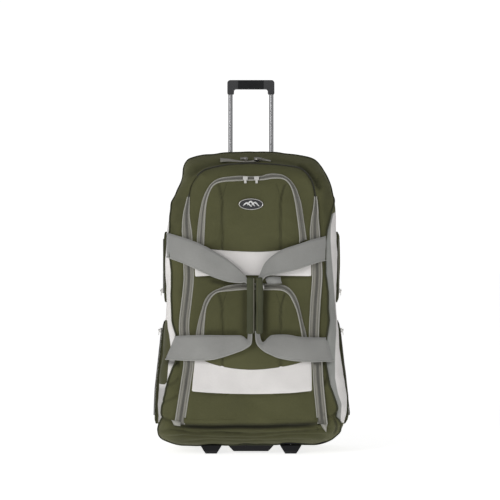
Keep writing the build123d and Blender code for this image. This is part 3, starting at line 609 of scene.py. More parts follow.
def folds_and_shade_at(x, z):
    """(how deep the pressed folds are, how dark their painted shade and the painted shadows are) at each
    point of the front view.
    """
    xz = np.stack([np.ravel(np.asarray(x, float)), np.ravel(np.asarray(z, float))], -1)
    deep, dark = np.zeros(len(xz)), np.zeros(len(xz))
    for line, width, depth, darkness in FOLDS_AND_PAINTED_SHADE:
        line = smooth_path(line, 40)
        t, d = to_segments(xz, line[:-1], line[1:])
        nearest = d.argmin(1)
        along = (nearest + t[np.arange(len(xz)), nearest]) / (len(line) - 1)
        ends = np.clip(np.minimum(along, 1 - along) * 8, 0, 1)
        near = np.exp(-((d.min(1) / width) ** 2)) * (0.25 + 0.75 * ends)
        deep += depth * near
        dark = np.maximum(dark, darkness * near)
    return deep.reshape(np.shape(x)), dark.reshape(np.shape(x))


def vertex_places(obj):
    place = np.empty(len(obj.data.vertices) * 3, np.float32)
    obj.data.vertices.foreach_get("co", place)
    return place.reshape(-1, 3) / MM


def store(obj, name, values):
    layer = obj.data.attributes.new(name, "FLOAT", "POINT")
    layer.data.foreach_set("value", values.astype(np.float32))


def paint_fold_shade(obj, front_only=True, extra=None):
    """Stores the painted shade on each vertex, for the cloth materials: shade in the folds and the painted
    shadows, along the bottom and over the back of the top.
    """
    place = vertex_places(obj)
    x, z = np.abs(place[:, 0]), place[:, 2]
    # painted shade along the bottom of the body, and over the back of the top
    under = 0.4 * np.clip((58 - z) / 8, 0, 1) * np.clip((190 - x) / 40, 0.15, 1)
    dark = np.maximum.reduce([folds_and_shade_at(place[:, 0], z)[1], under, 0.35 * np.clip((z - 638) / 12, 0, 1)])
    if front_only:
        dark = dark * np.clip((-30 - place[:, 1]) / 30, 0, 1)
    if extra is not None:
        dark = np.maximum(dark, extra(place))
    store(obj, "fold", dark)


def fold(value, centre, width):
    return math.exp(-(((value - centre) / width) ** 2))


def cloth_dent(p, n):
    """How far the cloth lies inside its stuffed shape here: slack waves and broad dents."""
    x, y, z = p
    dent = 3.0 * rough(p, 75, 3.1) + 1.7 * rough(p, 28, 8.4)
    low = fold(z, 42, 18) * max(0.0, -n[1])
    dent += low * 1.6 * math.sin(z / 3.4 + 1.6 * rough(p, 60, 5) + x / 60)
    dent += 3.0 * fold(abs(x), 128, 34) * fold(z, 612, 26)
    dent += 3.0 * fold(z, 200, 34) * fold(abs(x), 176, 22) * (1 if y < -60 else 0.3)
    dent += 1.3 * fold(z, 100, 40) * fold(abs(x), 170, 26) * math.sin((z + 1.4 * abs(x)) / 9.0)
    return dent


edge_hold = np.ones(skin.shape[1])
edge_hold[:4] = (0.0, 0.3, 0.6, 0.85)
pressed = folds_and_shade_at(skin[..., 0], skin[..., 2])[0] * np.clip((-20 - skin[..., 1]) / 30, 0, 1)
for i in range(N):
    for j in range(skin.shape[1]):
        dent = cloth_dent(skin[i, j], skin_normals[i, j]) + pressed[i, j]
        skin[i, j] -= skin_normals[i, j] * dent * edge_hold[j]


def skin_part(name, rows, columns, material, wrap=False):
    points = skin[np.asarray(rows) % N][:, columns]
    ahead = points[1:, :-1] - points[:-1, :-1]
    over = points[:-1, 1:] - points[:-1, :-1]
    outward = skin_normals[np.asarray(rows) % N][:-1][:, columns][:, :-1]
    flip = (np.cross(ahead, over) * outward).sum() < 0
    obj = grid(name, points, [material, "lining"], wrap_u=wrap, flip=flip, thickness=CLOTH, lined=1)
    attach(obj, "bag")
    return obj


def paint_side(obj, heights, edges, low, high, inside=False):
    """Marks where a side panel has its second colour, within a line given as half-widths by height."""
    place = vertex_places(obj)
    within = np.interp(place[:, 2], heights, edges) - np.abs(place[:, 0])
    if not inside:
        within = -within
    within = np.minimum.reduce([within, -40 - place[:, 1], place[:, 2] - low, high - place[:, 2]])
    store(obj, "second", within)


def low_side_shade(place):
    return 0.55 * np.clip((155 - place[:, 2]) / 15, 0, 1) * (place[:, 1] < -40)


first, second = PARTS[0], PARTS[0] + PARTS[1]
front_skin = skin_part("front_gusset_cloth", range(N), slice(0, first + 1), "green", wrap=True)
paint_fold_shade(front_skin)
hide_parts("front_frame")
light_rows = [i for i in range(N) if 66 < HEIGHT[i] < 524]
right_rows = [i for i in light_rows if OUTLINE[i, 0] > 0]
left_rows = [i for i in light_rows if OUTLINE[i, 0] < 0]
top_rows = list(range(right_rows[-1], left_rows[0] + 1))
bottom_rows = list(range(left_rows[-1], N + right_rows[0] + 1))
panel_columns = slice(first, second + 1)
for name, rows, material, node in (
    ("right_side_cloth", right_rows, "right_side", "right_side_panel"),
    ("left_side_cloth", left_rows, "left_side", "left_side_panel"),
    ("top_cloth", top_rows, "green", "top_panel"),
    ("bottom_cloth", bottom_rows, "green", "bottom_panel"),
):
    piece = skin_part(name, rows, panel_columns, material)
    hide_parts(node)
    if name in ("top_cloth", "bottom_cloth"):
        paint_fold_shade(piece)
    elif name == "right_side_cloth":
        # painted shade: the band beside the front seam gets the shaded copy of the light cloth
        paint_side(piece, [67, 111, 133, 166, 199, 231, 264, 297, 330, 363, 396, 429, 461, 494, 516],
                   [192, 194, 186, 180, 180, 181, 183, 183, 180.5, 178, 175, 172.5, 170.5, 171, 177],
                   0, 600, inside=True)
        paint_fold_shade(piece)
    else:
        paint_side(piece, [150, 166, 195, 215, 235, 260, 272, 292],
                   [181, 179, 177, 172, 172, 175, 178, 180], 152, 290)
        paint_fold_shade(piece, extra=low_side_shade)
back_gusset = skin_part("back_gusset_cloth", range(N), slice(second, None), "green", wrap=True)

# The cloth is open round the handle's moulded socket, with a moulded rim on its edge
SOCKET_X, SOCKET_Y = 64.0, (130.5, 153.5)
cutter = bmesh.new()
cutter.from_mesh(back_gusset.data)
in_socket = []
for face in cutter.faces:
    at = face.calc_center_median()
    if abs(at.x) < SOCKET_X * MM and SOCKET_Y[0] * MM < at.y < SOCKET_Y[1] * MM and at.z > 0.6:
        in_socket.append(face)
bmesh.ops.delete(cutter, geom=in_socket, context="FACES")
cutter.to_mesh(back_gusset.data)
cutter.free()
top_skin = skin.reshape(-1, 3)[skin.reshape(-1, 3)[:, 2] > 620]
rim = []
for x, y, start in ((SOCKET_X - 5, SOCKET_Y[1] - 5, 0), (-SOCKET_X + 5, SOCKET_Y[1] - 5, 90),
                    (-SOCKET_X + 5, SOCKET_Y[0] + 5, 180), (SOCKET_X - 5, SOCKET_Y[0] + 5, 270)):
    for angle in np.radians(start + np.linspace(0, 90, 8)):
        rim.append((x + 6 * math.cos(angle), y + 6 * math.sin(angle)))
rim = resample(np.vstack([rim, rim[:1]]), 121)[:-1]
nearest = [np.argsort(((top_skin[:, :2] - p) ** 2).sum(1))[:5] for p in rim]
rim_z = np.array([max(649.2, top_skin[rows, 2].mean()) for rows in nearest]) + 0.4
socket_rim = tube("handle_socket_rim", np.column_stack([rim, rim_z]), 2.6, "black", closed=True)
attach(socket_rim, "bag")

# Back: rings from the back edge in to a spine
spine = np.column_stack([np.zeros(N), np.full(N, BACK + 1.0), eased(HEIGHT, SPINE_LOW, SPINE_HIGH)])
share = np.linspace(0, 1, 16)[None, :, None] ** 0.8
back_points = skin[:, -1:, :] * (1 - share) + spine[:, None] * share
back_points[:, 1:, 1] += 2.0 * np.sin(np.pi * share[0, 1:, 0]) * 0.6
back_cloth = grid("back_cloth", back_points, ["green", "lining"], wrap_u=True, thickness=CLOTH, lined=1)
middle_normal = np.cross(back_points[1, 0] - back_points[0, 0], back_points[0, 1] - back_points[0, 0])
if middle_normal[1] < 0:
    back_cloth.data.flip_normals()
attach(back_cloth, "bag")
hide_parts("back_panel")

# Piping along the two seams
for name, column, radius in (("front_seam_piping", first, 2.0), ("back_seam_piping", second, 2.2)):
    cord_line = skin[:, column] + skin_normals[:, column] * 0.8
    piping = tube(name, cord_line, radius, "dark_piping", closed=True)
    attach(piping, "bag")


# ---------------------------------------------------------------- lid
def offset_loop(loop, distance):
    """A closed front-view loop moved outwards by a distance, or inwards by a negative one."""
    t = tangents(loop, closed=True)
    out = np.column_stack([t[:, 1], -t[:, 0]])
    return loop + out * np.asarray(distance, float).reshape(-1, 1)


# Half the width of the zip's tape, which dives under the lid's edge at the top
zip_half = 9.5 - 8.4 * np.clip((OPENING[:, 1] - 480) / 78, 0, 1)
foot = (np.abs(OPENING[:, 0]) < 148) & (OPENING[:, 1] < 80)
lid_inset = np.where(foot, 1.0, zip_half)
LID_LOOP = offset_loop(OPENING, -lid_inset)
for side in (1, -1):
    # the offset loop crosses itself at the foot's corners, so each corner is drawn again
    rows = [i for i in range(N) if OPENING[i, 0] * side > 134 and OPENING[i, 1] < 86]
    start, end = rows[0] - 1, rows[-1] + 1
    low, high = (start, end) if side > 0 else (end, start)
    corner = np.array([LID_LOOP[high, 0] + side * 1.0, 68.0])
    turn = [LID_LOOP[low], corner + (LID_LOOP[low] - corner) * 0.25,
            corner + (LID_LOOP[high] - corner) * 0.25, LID_LOOP[high]]
    LID_LOOP[start : end + 1] = resample(turn if side > 0 else turn[::-1], end - start + 1)


def inside_distance(xz, loop):
    """Distance from each point to a closed loop."""
    out = np.empty(len(xz))
    for start in range(0, len(xz), CHUNK):
        _, d = to_segments(xz[start : start + CHUNK], loop, np.roll(loop, -1, 0))
        out[start : start + CHUNK] = d.min(1)
    return out


STRAIGHT_LINE = 0.9817  # 5 pi / 16: what distance**-8 sums to along a straight line at distance 1


def soft_distance(xz, loop):
    """Distance to a closed loop with the creases towards its corners smoothed away."""
    middles = (loop + np.roll(loop, -1, 0)) / 2
    lengths = np.linalg.norm(np.roll(loop, -1, 0) - loop, axis=1)
    nearest = inside_distance(xz, loop)
    out = np.empty(len(xz))
    for start in range(0, len(xz), CHUNK):
        d = np.linalg.norm(xz[start : start + CHUNK, None] - middles, axis=-1)
        total = (lengths * np.maximum(d, 1.0) ** -8.0).sum(1)
        out[start : start + CHUNK] = (total / STRAIGHT_LINE) ** (-1 / 7)
    share = np.clip((nearest - 4) / 6, 0, 1)
    share = share * share * (3 - 2 * share)
    return nearest * (1 - share) + out * share


def lid_y(x, z):
    """Depth of the lid's outer face: it puffs out from its edge and sags a little between its seams."""
    x, z = np.broadcast_arrays(np.asarray(x, float), np.asarray(z, float))
    xz = np.stack([x.ravel(), z.ravel()], -1)
    d = soft_distance(xz, LID_LOOP)
    puff = 2.0 + 5.5 * np.sqrt(1 - (1 - np.clip(d / 9.0, 0, 1)) ** 2) + 2.5 * (1 - np.exp(-d / 45.0))
    seams = 1.2 * np.exp(-(((xz[:, 1] - 134) / 5) ** 2)) + 1.0 * np.exp(-(((xz[:, 1] - 384) / 5) ** 2))
    slack = np.array([2.2 * rough((px, 0, pz), 85, 2.2) + 1.1 * rough((px, 0, pz), 30, 6.1) for px, pz in xz])
    return (front_y(xz[:, 0], xz[:, 1]) - puff + seams + slack * np.clip(d / 14, 0, 1)).reshape(x.shape)


def lid_points(loop_points, lift=0.0):
    xz = np.asarray(loop_points, float)
    return np.stack([xz[..., 0], lid_y(xz[..., 0], xz[..., 1]) - lift, xz[..., 1]], -1)


lid_spine = np.column_stack([np.zeros(N), eased(LID_LOOP[:, 1], SPINE_LOW, SPINE_HIGH)])
ring_share = 1 - np.cos(np.linspace(0, math.pi / 2, 30))
ring_share = np.concatenate([[0, 0.004, 0.012], ring_share[2:]])
rings = LID_LOOP[:, None] * (1 - ring_share[None, :, None]) + lid_spine[:, None] * ring_share[None, :, None]
outer = lid_points(rings)
kept_rings = [*range(0, outer.shape[1] - 1, 4), outer.shape[1] - 1]
inner = outer[:, kept_rings][:, ::-1].copy()
inner[..., 1] = front_y(inner[..., 0], inner[..., 2]) - 1.6
lid_cloth = grid("lid_cloth", np.concatenate([outer[:, ::-1], inner[:, ::-1]], 1), "green", wrap_u=True)
inner_start = outer.shape[1] - 1
lid_cloth.data.materials.append(MATERIALS["lining"])
columns = outer.shape[1] + inner.shape[1] - 1
material_index = np.tile(np.arange(columns) > inner_start + 1, N).astype(int)
lid_cloth.data.polygons.foreach_set("material_index", material_index)
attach(lid_cloth, "lid")
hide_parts("lid_panel")


def lid_edge_shade(place):
    near = inside_distance(place[:, [0, 2]], LID_LOOP)
    return 0.5 * np.exp(-((near / 2.2) ** 2)) * np.clip((place[:, 2] - 470) / 60, 0, 1)


paint_fold_shade(lid_cloth, extra=lid_edge_shade)


def patch(name, low, high, material, lift=1.0, rows=20, columns=70):
    """A panel sewn on the lid between two curves, with turned-under edges."""
    low, high = resample(smooth_path(low, 60), columns), resample(smooth_path(high, 60), columns)
    v = np.linspace(0, 1, rows)
    flat = low[None] * (1 - v[:, None, None]) + high[None] * v[:, None, None]
    points = lid_points(flat, lift)
    points[[0, -1], :, 1] += lift + 0.6
    points[:, [0, -1], 1] += lift + 0.6
    obj = grid(name, points, material)
    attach(obj, "lid")
    return obj


patch("upper_light_band", [(-121, 382), (-75, 384.5), (0, 385), (70, 384), (131, 383)],
      [(-123, 447), (-55, 440), (14, 438), (64, 441), (130, 449)], "light")
patch("lower_light_band", [(-128, 137), (-70, 133), (4, 131.5), (80, 133.5), (132, 138)],
      [(-122, 208), (-60, 200), (4, 196), (70, 200), (131, 208)], "light")


# ---------------------------------------------------------------- front pockets
def dart_bend(z, dart_x, top):
    """How far a dart swings sideways near its top."""
    return 10 * np.clip((z - (top - 45)) / 45, 0, 1) ** 2 * (-1 if dart_x < 0 else 1)


def pocket(name, node, inner_line, bottom, outer_line, height, crown, darts):
    """A front pocket: a zip gusset climbing from the lid to the panel's piped edge, and the puffed panel."""
    inner_line = smooth_path(inner_line, 120)
    outer_line = smooth_path(outer_line, 120)
    bottom = smooth_path(bottom, 50)
    loop = np.vstack([inner_line, bottom[1:-1]])
    count = len(loop)
    spine_z = eased(loop[:, 1], bottom[:, 1].max() + 25, loop[:, 1].max() - 50)
    centre = np.column_stack([np.full(count, 2.0), spine_z])
    upright = np.clip((loop[:, 1] - bottom[:, 1].max()) / 40, 0, 1)
    rise = np.where(np.arange(count) < len(inner_line), 3.5 + (height - 3.5) * upright, 1.5)
    shares = np.concatenate([[0, 0.012, 0.03, 0.06], np.linspace(0.1, 1, 22)])
    rows = []
    for share in shares:
        xz = loop * (1 - share) + centre * share
        d = inside_distance(xz, loop)
        puff = rise + (height + crown - rise) * (1 - np.exp(-d / 22.0))
        spots = [(px, 3, pz) for px, pz in xz]
        wrinkle = np.array([1.5 * rough(p, 60, 4.4) + 0.8 * rough(p, 24, 9.3) for p in spots])
        for dart_x, top, depth in darts:
            bend = dart_bend(xz[:, 1], dart_x, top)
            along = np.clip((top - xz[:, 1]) / 25, 0, 1)
            puff = puff - depth * along * np.exp(-(((xz[:, 0] - dart_x - bend) / 3.2) ** 2))
        y = lid_y(xz[:, 0], xz[:, 1]) - puff + wrinkle * np.clip(d / 20, 0, 1)
        rows.append(np.column_stack([xz[:, 0], y, xz[:, 1]]))
    points = np.array(rows).transpose(1, 0, 2)
    panel = grid(name + "_cloth", points, "green", wrap_u=True, flip=True)
    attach(panel, "lid")
    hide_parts(node)

    def seam_shade(place):
        shade = np.zeros(len(place))
        for dart_x, top, _ in darts:
            off = place[:, 0] - dart_x - dart_bend(place[:, 2], dart_x, top)
            shade = np.maximum(shade, 0.75 * np.exp(-((off / 2.2) ** 2)) * (place[:, 2] < top))
        return shade

    paint_fold_shade(panel, extra=seam_shade)
    edge = points[: len(inner_line), 0]
    outer_y = lid_y(outer_line[:, 0], outer_line[:, 1]) - 0.4
    outer = np.column_stack([outer_line[:, 0], outer_y, outer_line[:, 1]])
    # zip gusset: tape from the lid, the coil in the middle, tape up to the panel
    v = np.array([0, 0.22, 0.44, 0.5, 0.56, 0.78, 1.0])
    climb = np.sin(v * math.pi / 2)
    wall = outer[:, None] * (1 - v[None, :, None]) + edge[:, None] * v[None, :, None]
    wall[..., 1] = outer[:, None, 1] * (1 - climb) + edge[:, None, 1] * climb
    gusset = grid(name + "_zip_tape", wall, "tape", flip=True, thickness=0.8)
    coil = tube(name + "_zip_coil", wall[:, 3] + (0, -0.8, 0), 1.3, "coil")
    inner_piping = tube(name + "_panel_piping", edge + (0, -0.5, 0), 1.5, "piping")
    outer_piping = tube(name + "_base_piping", outer + (0, -0.4, 0), 1.4, "piping")
    for piece in (gusset, coil, inner_piping, outer_piping):
        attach(piece, "lid")
    for dart_x, top, _ in darts:
        z = np.linspace(bottom[:, 1].max() + 3, top, 50)
        x = dart_x - dart_bend(z, dart_x, top)
        y = np.array([nearest_y(points, px, pz) for px, pz in zip(x, z)])
        dart_side = "left" if dart_x < 0 else "right"
        seam = tube(f"{name}_dart_{dart_side}", np.column_stack([x, y - 0.1, z]), 0.7, "dark_green")
        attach(seam, "lid")


def nearest_y(points, x, z):
    flat = points.reshape(-1, 3)
    d = (flat[:, 0] - x) ** 2 + (flat[:, 2] - z) ** 2
    near = np.argsort(d)[:4]
    w = 1 / (d[near] + 0.5)
    return float((flat[near, 1] * w).sum() / w.sum())


pocket(
    "upper_pocket", "upper_pocket",
    [(-101, 451), (-99, 493), (-96, 536), (-89, 563), (-79, 579), (-62, 586), (-34, 588), (0, 589),
     (24, 590), (45, 593), (64, 593), (77, 587), (87, 572), (94, 546), (99, 514), (104, 472), (104, 456)],
    [(104, 456), (99, 449), (64, 440), (14, 436), (-55, 439), (-98, 444), (-101, 451)],
    [(-114, 455), (-114, 466), (-111, 500), (-106.5, 529), (-100, 553), (-89.5, 574), (-77, 587),
     (-62, 593), (-49, 595), (-23, 597), (0, 596), (24, 597), (32, 600), (45, 602), (60, 601), (70, 598),
     (83, 589), (94, 574), (101, 557), (107, 536), (111, 508), (115, 482), (118, 462)],
    9.0, 8.5, [(-61, 583, 1.8), (63, 580, 1.8)],
)
pocket(
    "lower_pocket", "lower_pocket",
    [(-101, 215), (-101, 259), (-99, 291), (-96, 316), (-89, 333), (-80, 345), (-68, 351.5), (-45, 354),
     (-23, 356), (0, 357), (23, 356), (51, 356), (68, 354), (81, 346), (89, 333), (98, 312), (104, 287),
     (109, 259), (116, 215)],
    [(116, 215), (113, 203), (68, 191), (4, 184.5), (-55, 190), (-98, 203), (-101, 215)],
    [(-118, 212), (-116, 259), (-111, 287), (-104, 312), (-96, 335), (-83, 349), (-62, 359), (-45, 364),
     (-23, 367), (0, 368), (26, 367), (51, 366), (72, 363), (87, 352), (98, 333), (105, 308), (111, 282),
     (117, 259), (126, 212)],
    8.0, 8.0, [(-61, 352, 1.8), (63, 348, 1.8)],
)


# ---------------------------------------------------------------- main zip
def zip_frame(loop, rows, surface, lift):
    xz = loop[rows]
    path = np.column_stack([xz[:, 0], surface(xz[:, 0], xz[:, 1]) - lift, xz[:, 1]])
    t = tangents(path)
    out = np.cross(np.array([0, -1.0, 0]), t)
    out /= np.linalg.norm(out, axis=1, keepdims=True)
    return path, out, np.cross(t, out)


side_zip_rows = [i for i in range(N) if OPENING[i, 1] > 72 or abs(OPENING[i, 0]) > 151]
right_zip = [i for i in side_zip_rows if i < N / 2]
left_zip = [i for i in side_zip_rows if i >= N / 2]
zip_rows = right_zip + left_zip
path, out, normal = zip_frame(OPENING, zip_rows, front_y, 3.4)
facing = np.sign((normal * np.array([0, -1.0, 0])).sum(1, keepdims=True))
normal = normal * facing
away = np.sign(((path - (0, 0, 330)) * out)[:, [0, 2]].sum(1, keepdims=True))
out = out * away
half = zip_half[zip_rows]
for owner, sign in (("bag", 1), ("lid", -1)):
    width = np.maximum(half, 1.1)
    w = width[:, None] * np.array([0.10, 0.55, 1.0, 1.0, 0.55, 0.10])[None] * sign
    h = np.array([0.9, 0.9, 0.2, -0.8, -0.3, -0.3])[None] * np.ones_like(w)
    h = h - 3.0 * np.clip((OPENING[zip_rows, 1] - 545) / 20, 0, 1)[:, None]
    tape = sweep(f"main_zip_tape_{owner}", path, out, normal, np.stack([w, h], -1), "tape")
    # painted shade: the tape darkens towards the top, under the lid's edge
    paint_fold_shade(tape, extra=lambda place: 1.15 * np.clip((place[:, 2] - 538) / 20, 0, 1))
    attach(tape, owner)
    right_rows_at, left_rows_at = np.arange(len(right_zip)), np.arange(len(right_zip), len(zip_rows))
    for stretch, rows in (("right", right_rows_at), ("left", left_rows_at)):
        rows = rows[OPENING[np.array(zip_rows)[rows], 1] < 556]
        teeth = path[rows] + out[rows] * sign * 1.2 + normal[rows] * 1.2
        dense = resample(teeth, 700)
        radii = 1.15 + 0.35 * (np.arange(700) % 2)
        coil = tube(f"main_zip_coil_{owner}_{stretch}", dense, radii, "coil", sides=6)
        edge = path[rows] + out[rows] * sign * (width[rows, None] + 0.2) + normal[rows] * 0.9
        piping = tube(f"main_zip_piping_{owner}_{stretch}", edge, 1.5, "piping")
        for piece in (coil, piping):
            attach(piece, owner)

# Above, the zip runs hidden under the lid's edge, except for a loose end of tape by the slider
loose_top = smooth_path([(-66, 638), (-45, 635.5), (-28, 632), (-13, 631), (2, 631.5), (11, 634),
                         (21, 637), (32, 635), (43, 632)], 60)
loose_low = smooth_path([(-66, 629), (-45, 630), (-28, 629), (-13, 628.5), (2, 629), (11, 630),
                         (21, 632.5), (32, 631.5), (43, 630)], 60)
share = np.linspace(0, 1, 5)[None, :, None]
loose = loose_top[:, None] * (1 - share) + loose_low[:, None] * share
loose_y = front_y(loose[..., 0], loose[..., 1]) - 3.5 - 3.0 * share[..., 0]
loose_points = np.stack([loose[..., 0], loose_y, loose[..., 1]], -1)
loose_tape = grid("main_zip_loose_tape", loose_points, "tape", thickness=1.0)
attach(loose_tape, "bag")

# Hinge strip along the foot of the lid, folding between the bag and the lid
x = np.linspace(-HINGE_HALF, HINGE_HALF, 60)
strip_rows = []
for z in np.arange(52, 83, 2.0):
    lift = np.interp(z, [52, 56, 60, 64, 66, 69, 73, 78, 82],
                     [0.5, 1.2, 0.4, -2.6, 0.2, 4.6, 7.2, 8.0, 5.5])
    wave = np.array([0.8 * rough((px, 0, z), 40, 7.7) for px in x])
    strip_rows.append(np.column_stack([x, front_y(x, np.full(60, z)) - lift + wave, np.full(60, z) + wave]))
hinge_strip = grid("lid_hinge_strip", np.array(strip_rows), "green", flip=True, thickness=1.2)
paint_fold_shade(hinge_strip)
bpy.context.view_layer.update()
depsgraph = bpy.context.evaluated_depsgraph_get()
hinge_mesh = bpy.data.meshes.new_from_object(hinge_strip.evaluated_get(depsgraph))
hinge_strip.modifiers.clear()
hinge_strip.data = hinge_mesh
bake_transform(hinge_strip)
for side, corners in (("left", [(-170, 77), (-150, 73), (-164, 66),
                                (-151, 64)]), ("right", [(149, 68), (162, 67), (153, 60), (161, 50)])):
    lifted = np.array([(a, front_y(a, b) - 7.0, b) for a, b in corners]).reshape(2, 2, 3)
    stop = grid(f"zip_stop_{side}", lifted, "piping", thickness=1.2)
    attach(stop, "bag")


# ---------------------------------------------------------------- side pockets
def side_zip_x(level, z):
    """Half-width at which a side pocket's slider runs."""
    return 191.0 + 0 * z if level == "upper" else 195.3 + (266 - z) / 9


def side_pocket(side_name, side, level, low, high, depth, extra):
    node = f"{side_name}_{level}_side_pocket"
    y0, y1, r = -55.0, 95.0, 20.0
    loop = []
    corners = ((y1 - r, low + r), (y1 - r, high - r), (y0 + r, high - r), (y0 + r, low + r))
    for (y, z), start in zip(corners, (-90, 0, 90, 180)):
        for k in range(12):
            a = math.radians(start + 90 * k / 11)
            loop.append((y + r * math.cos(a), z + r * math.sin(a)))
    loop = np.array(loop)
    loop = resample(np.vstack([loop, loop[:1]]), 121)[:-1]
    centre = np.column_stack([np.full(len(loop), 20.0), np.clip(loop[:, 1], low + 60, high - 60)])
    half_body = right_body if side > 0 else left_body
    z_of, w_of = half_body[:, 1], half_body[:, 0]
    keep = (z_of > 40) & (z_of < 600)
    rows = []
    for share in np.concatenate([[0, 0.01, 0.03, 0.06], np.linspace(0.1, 1, 14)]):
        yz = loop * (1 - share) + centre * share
        d = inside_distance(yz, loop)
        x = np.interp(yz[:, 1], z_of[keep], w_of[keep])
        puff = (depth - 1.0) * (1 - np.exp(-d / 3.0)) + extra * np.sin(np.clip(d / 60, 0, 1) * math.pi / 2)
        puff += np.array([1.2 * rough((40 * side, a, b), 50, 2.9) for a, b in yz]) * np.clip(d / 15, 0, 1)
        by_zip = np.clip((-24 - yz[:, 0]) / 13, 0, 1)
        flat = np.minimum(side_zip_x(level, yz[:, 1]) - 2.2 - x, 9.5) * (1 - np.exp(-d / 3.0))
        x = x + (puff - 1.0) * (1 - by_zip) + flat * by_zip
        rows.append(np.column_stack([side * x, yz[:, 0], yz[:, 1]]))
    points = np.array(rows).transpose(1, 0, 2)
    cloth = grid(f"{side_name}_{level}_side_pocket_cloth", points, "dark_green", wrap_u=True, flip=side > 0)
    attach(cloth, "bag")
    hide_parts(node)
    rim = tube(f"{side_name}_{level}_side_pocket_piping", points[:, 2], 1.8, "dark_piping", closed=True)
    zip_z = np.linspace(low + 20, high - 16, 40)
    zip_x = np.minimum(side_zip_x(level, zip_z) - 1.5, np.interp(zip_z, z_of[keep], w_of[keep]) + 10.2)
    zip_line = np.column_stack([side * zip_x, np.full(40, -47.0), zip_z])
    strip = np.stack([zip_line + (0, -5, 0), zip_line + (side * 0.6, 0, 0), zip_line + (0, 5, 0)], 1)
    tape = grid(f"{side_name}_{level}_side_zip_tape", strip, "tape", flip=side < 0, thickness=0.8)
    coil = tube(f"{side_name}_{level}_side_zip_coil", zip_line + (side * 0.3, 0, 0), 1.1, "coil")
    for piece in (rim, tape, coil):
        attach(piece, "bag")


for side_name, side in (("left", -1), ("right", 1)):
    side_pocket(side_name, side, "upper", 326, 480, 9.0 + 0.8 * side, 0.5 + 0.5 * side)
    side_pocket(side_name, side, "lower", 62, 287, 8.5, 1.0 + 0.5 * side)


# ---------------------------------------------------------------- carry straps and sleeves
def strap(name, top, bottom, cup):
    """A cupped webbing ribbon between its top and bottom edges, given as (x, z, y), with bound edges."""
    count = 72
    top, bottom = smooth_path(top, count), smooth_path(bottom, count)
    v = np.linspace(0, 1, 11)
    face = top[:, None] * (1 - v[None, :, None]) + bottom[:, None] * v[None, :, None]
    x, z, y = face[..., 0], face[..., 1], face[..., 2]
    along = np.linspace(0, 1, count)[:, None]
    bulge = cup * np.sin(np.pi * v)[None] * np.sin(np.pi * np.clip(along * 1.1, 0, 1))
    ripple = np.array([[0.9 * rough((a, 9, b), 45, 1.3) for a, b in zip(*row)] for row in zip(x, z)])
    front = np.stack([x, y - bulge + ripple - WEBBING_THICK / 2, z], -1)
    points = np.concatenate([front, front[:, ::-1] + (0, WEBBING_THICK, 0)], 1)
    ribbon = grid(name, points, "webbing", wrap_v=True, cap=True)
    low_edge = tube(name + "_low_edge", front[:, -1] + (0, 0.9, 0), 1.5, "binding")
    top_edge = tube(name + "_top_edge", front[:, 0] + (0, WEBBING_THICK / 2, 0), 1.25, "webbing")
    return ribbon, low_edge, top_edge


straps = {
    "left_carry": (
        [(-181, 475, -95), (-179, 475, -104), (-174.8, 474.5, -111), (-163, 471, -119.5),
         (-135, 462.5, -135), (-100.4, 448.5, -146), (-71.2, 431.9, -151), (-50, 418.7, -153.5),
         (-31.3, 404, -156), (-18, 391, -157), (-10, 381, -157), (-8, 370, -157)],
        [(-181, 425, -95), (-179, 425, -104), (-174.8, 423.5, -111), (-165, 420, -118),
         (-138.3, 410.2, -133), (-104.2, 394.3, -144.5), (-76.6, 382.6, -150), (-48.9, 374.1, -153),
         (-25.5, 371.3, -156), (-14, 372.5, -157), (-9, 370, -157), (-6, 364, -157)],
        [(-166, 254, -108), (-164.5, 254, -114), (-160, 255, -120.5), (-150, 256, -127.5),
         (-108.5, 257.9, -144.5), (-55.3, 257.9, -152.5), (-30, 258, -156), (-20.5, 257.5, -157),
         (-13, 253, -157.5), (-8.5, 249, -158), (-6, 254, -158), (-5, 268, -157)],
        [(-183, 206, -103), (-181, 206, -109), (-176, 206.5, -116), (-160, 206, -126),
         (-125, 205.4, -140), (-87.2, 207.3, -149), (-61.4, 213, -153), (-26.7, 225, -157),
         (-14.8, 230, -159), (-1.5, 239.5, -161), (1.2, 250, -161), (1.6, 268, -159)],
    ),
    "right_carry": (
        [(165, 470, -103), (163.5, 470, -111), (160, 469, -119), (150, 466, -127.5), (130.8, 461.3, -137),
         (98.9, 450.6, -146.5), (67, 440, -151.5), (45.7, 426.6, -154), (29.8, 410.6, -156),
         (20.5, 390, -157), (15.5, 378, -157), (14.5, 366, -157)],
        [(165, 417, -103), (163.5, 417.5, -111), (160, 418, -118.5), (148, 416, -128), (130.8, 410.6, -136.5),
         (104.2, 401.7, -144.5), (77.6, 394.7, -150), (51, 389.4, -153), (33, 385, -156), (25.5, 379, -157),
         (23, 372, -157), (22, 364, -157)],
        [(165, 251, -107), (163, 251, -114), (158, 252, -121.5), (148, 252, -128), (104.2, 254.5, -145.5),
         (78, 259, -150), (47.4, 258.6, -154), (38, 254, -156), (31, 247, -157), (25, 243.5, -158),
         (20, 250, -158), (17, 268, -157)],
        [(179, 203, -101), (177, 203, -109), (172, 203, -117), (155, 203, -127.5), (130, 202.5, -139),
         (91, 205.5, -148.5), (59.3, 211.6, -153), (44.5, 217.7, -156), (29.4, 225.3, -159), (17, 236, -161),
         (11.4, 248, -161), (10, 268, -159)],
    ),
}
for owner, (upper_top, upper_bottom, lower_top, lower_bottom) in straps.items():
    for level, top, bottom, cup in (
        ("upper", upper_top, upper_bottom, 2.0),
        ("lower", lower_top, lower_bottom, 3.5),
    ):
        for piece in strap(f"{owner}_{level}_strap", top, bottom, cup):
            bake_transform(piece)

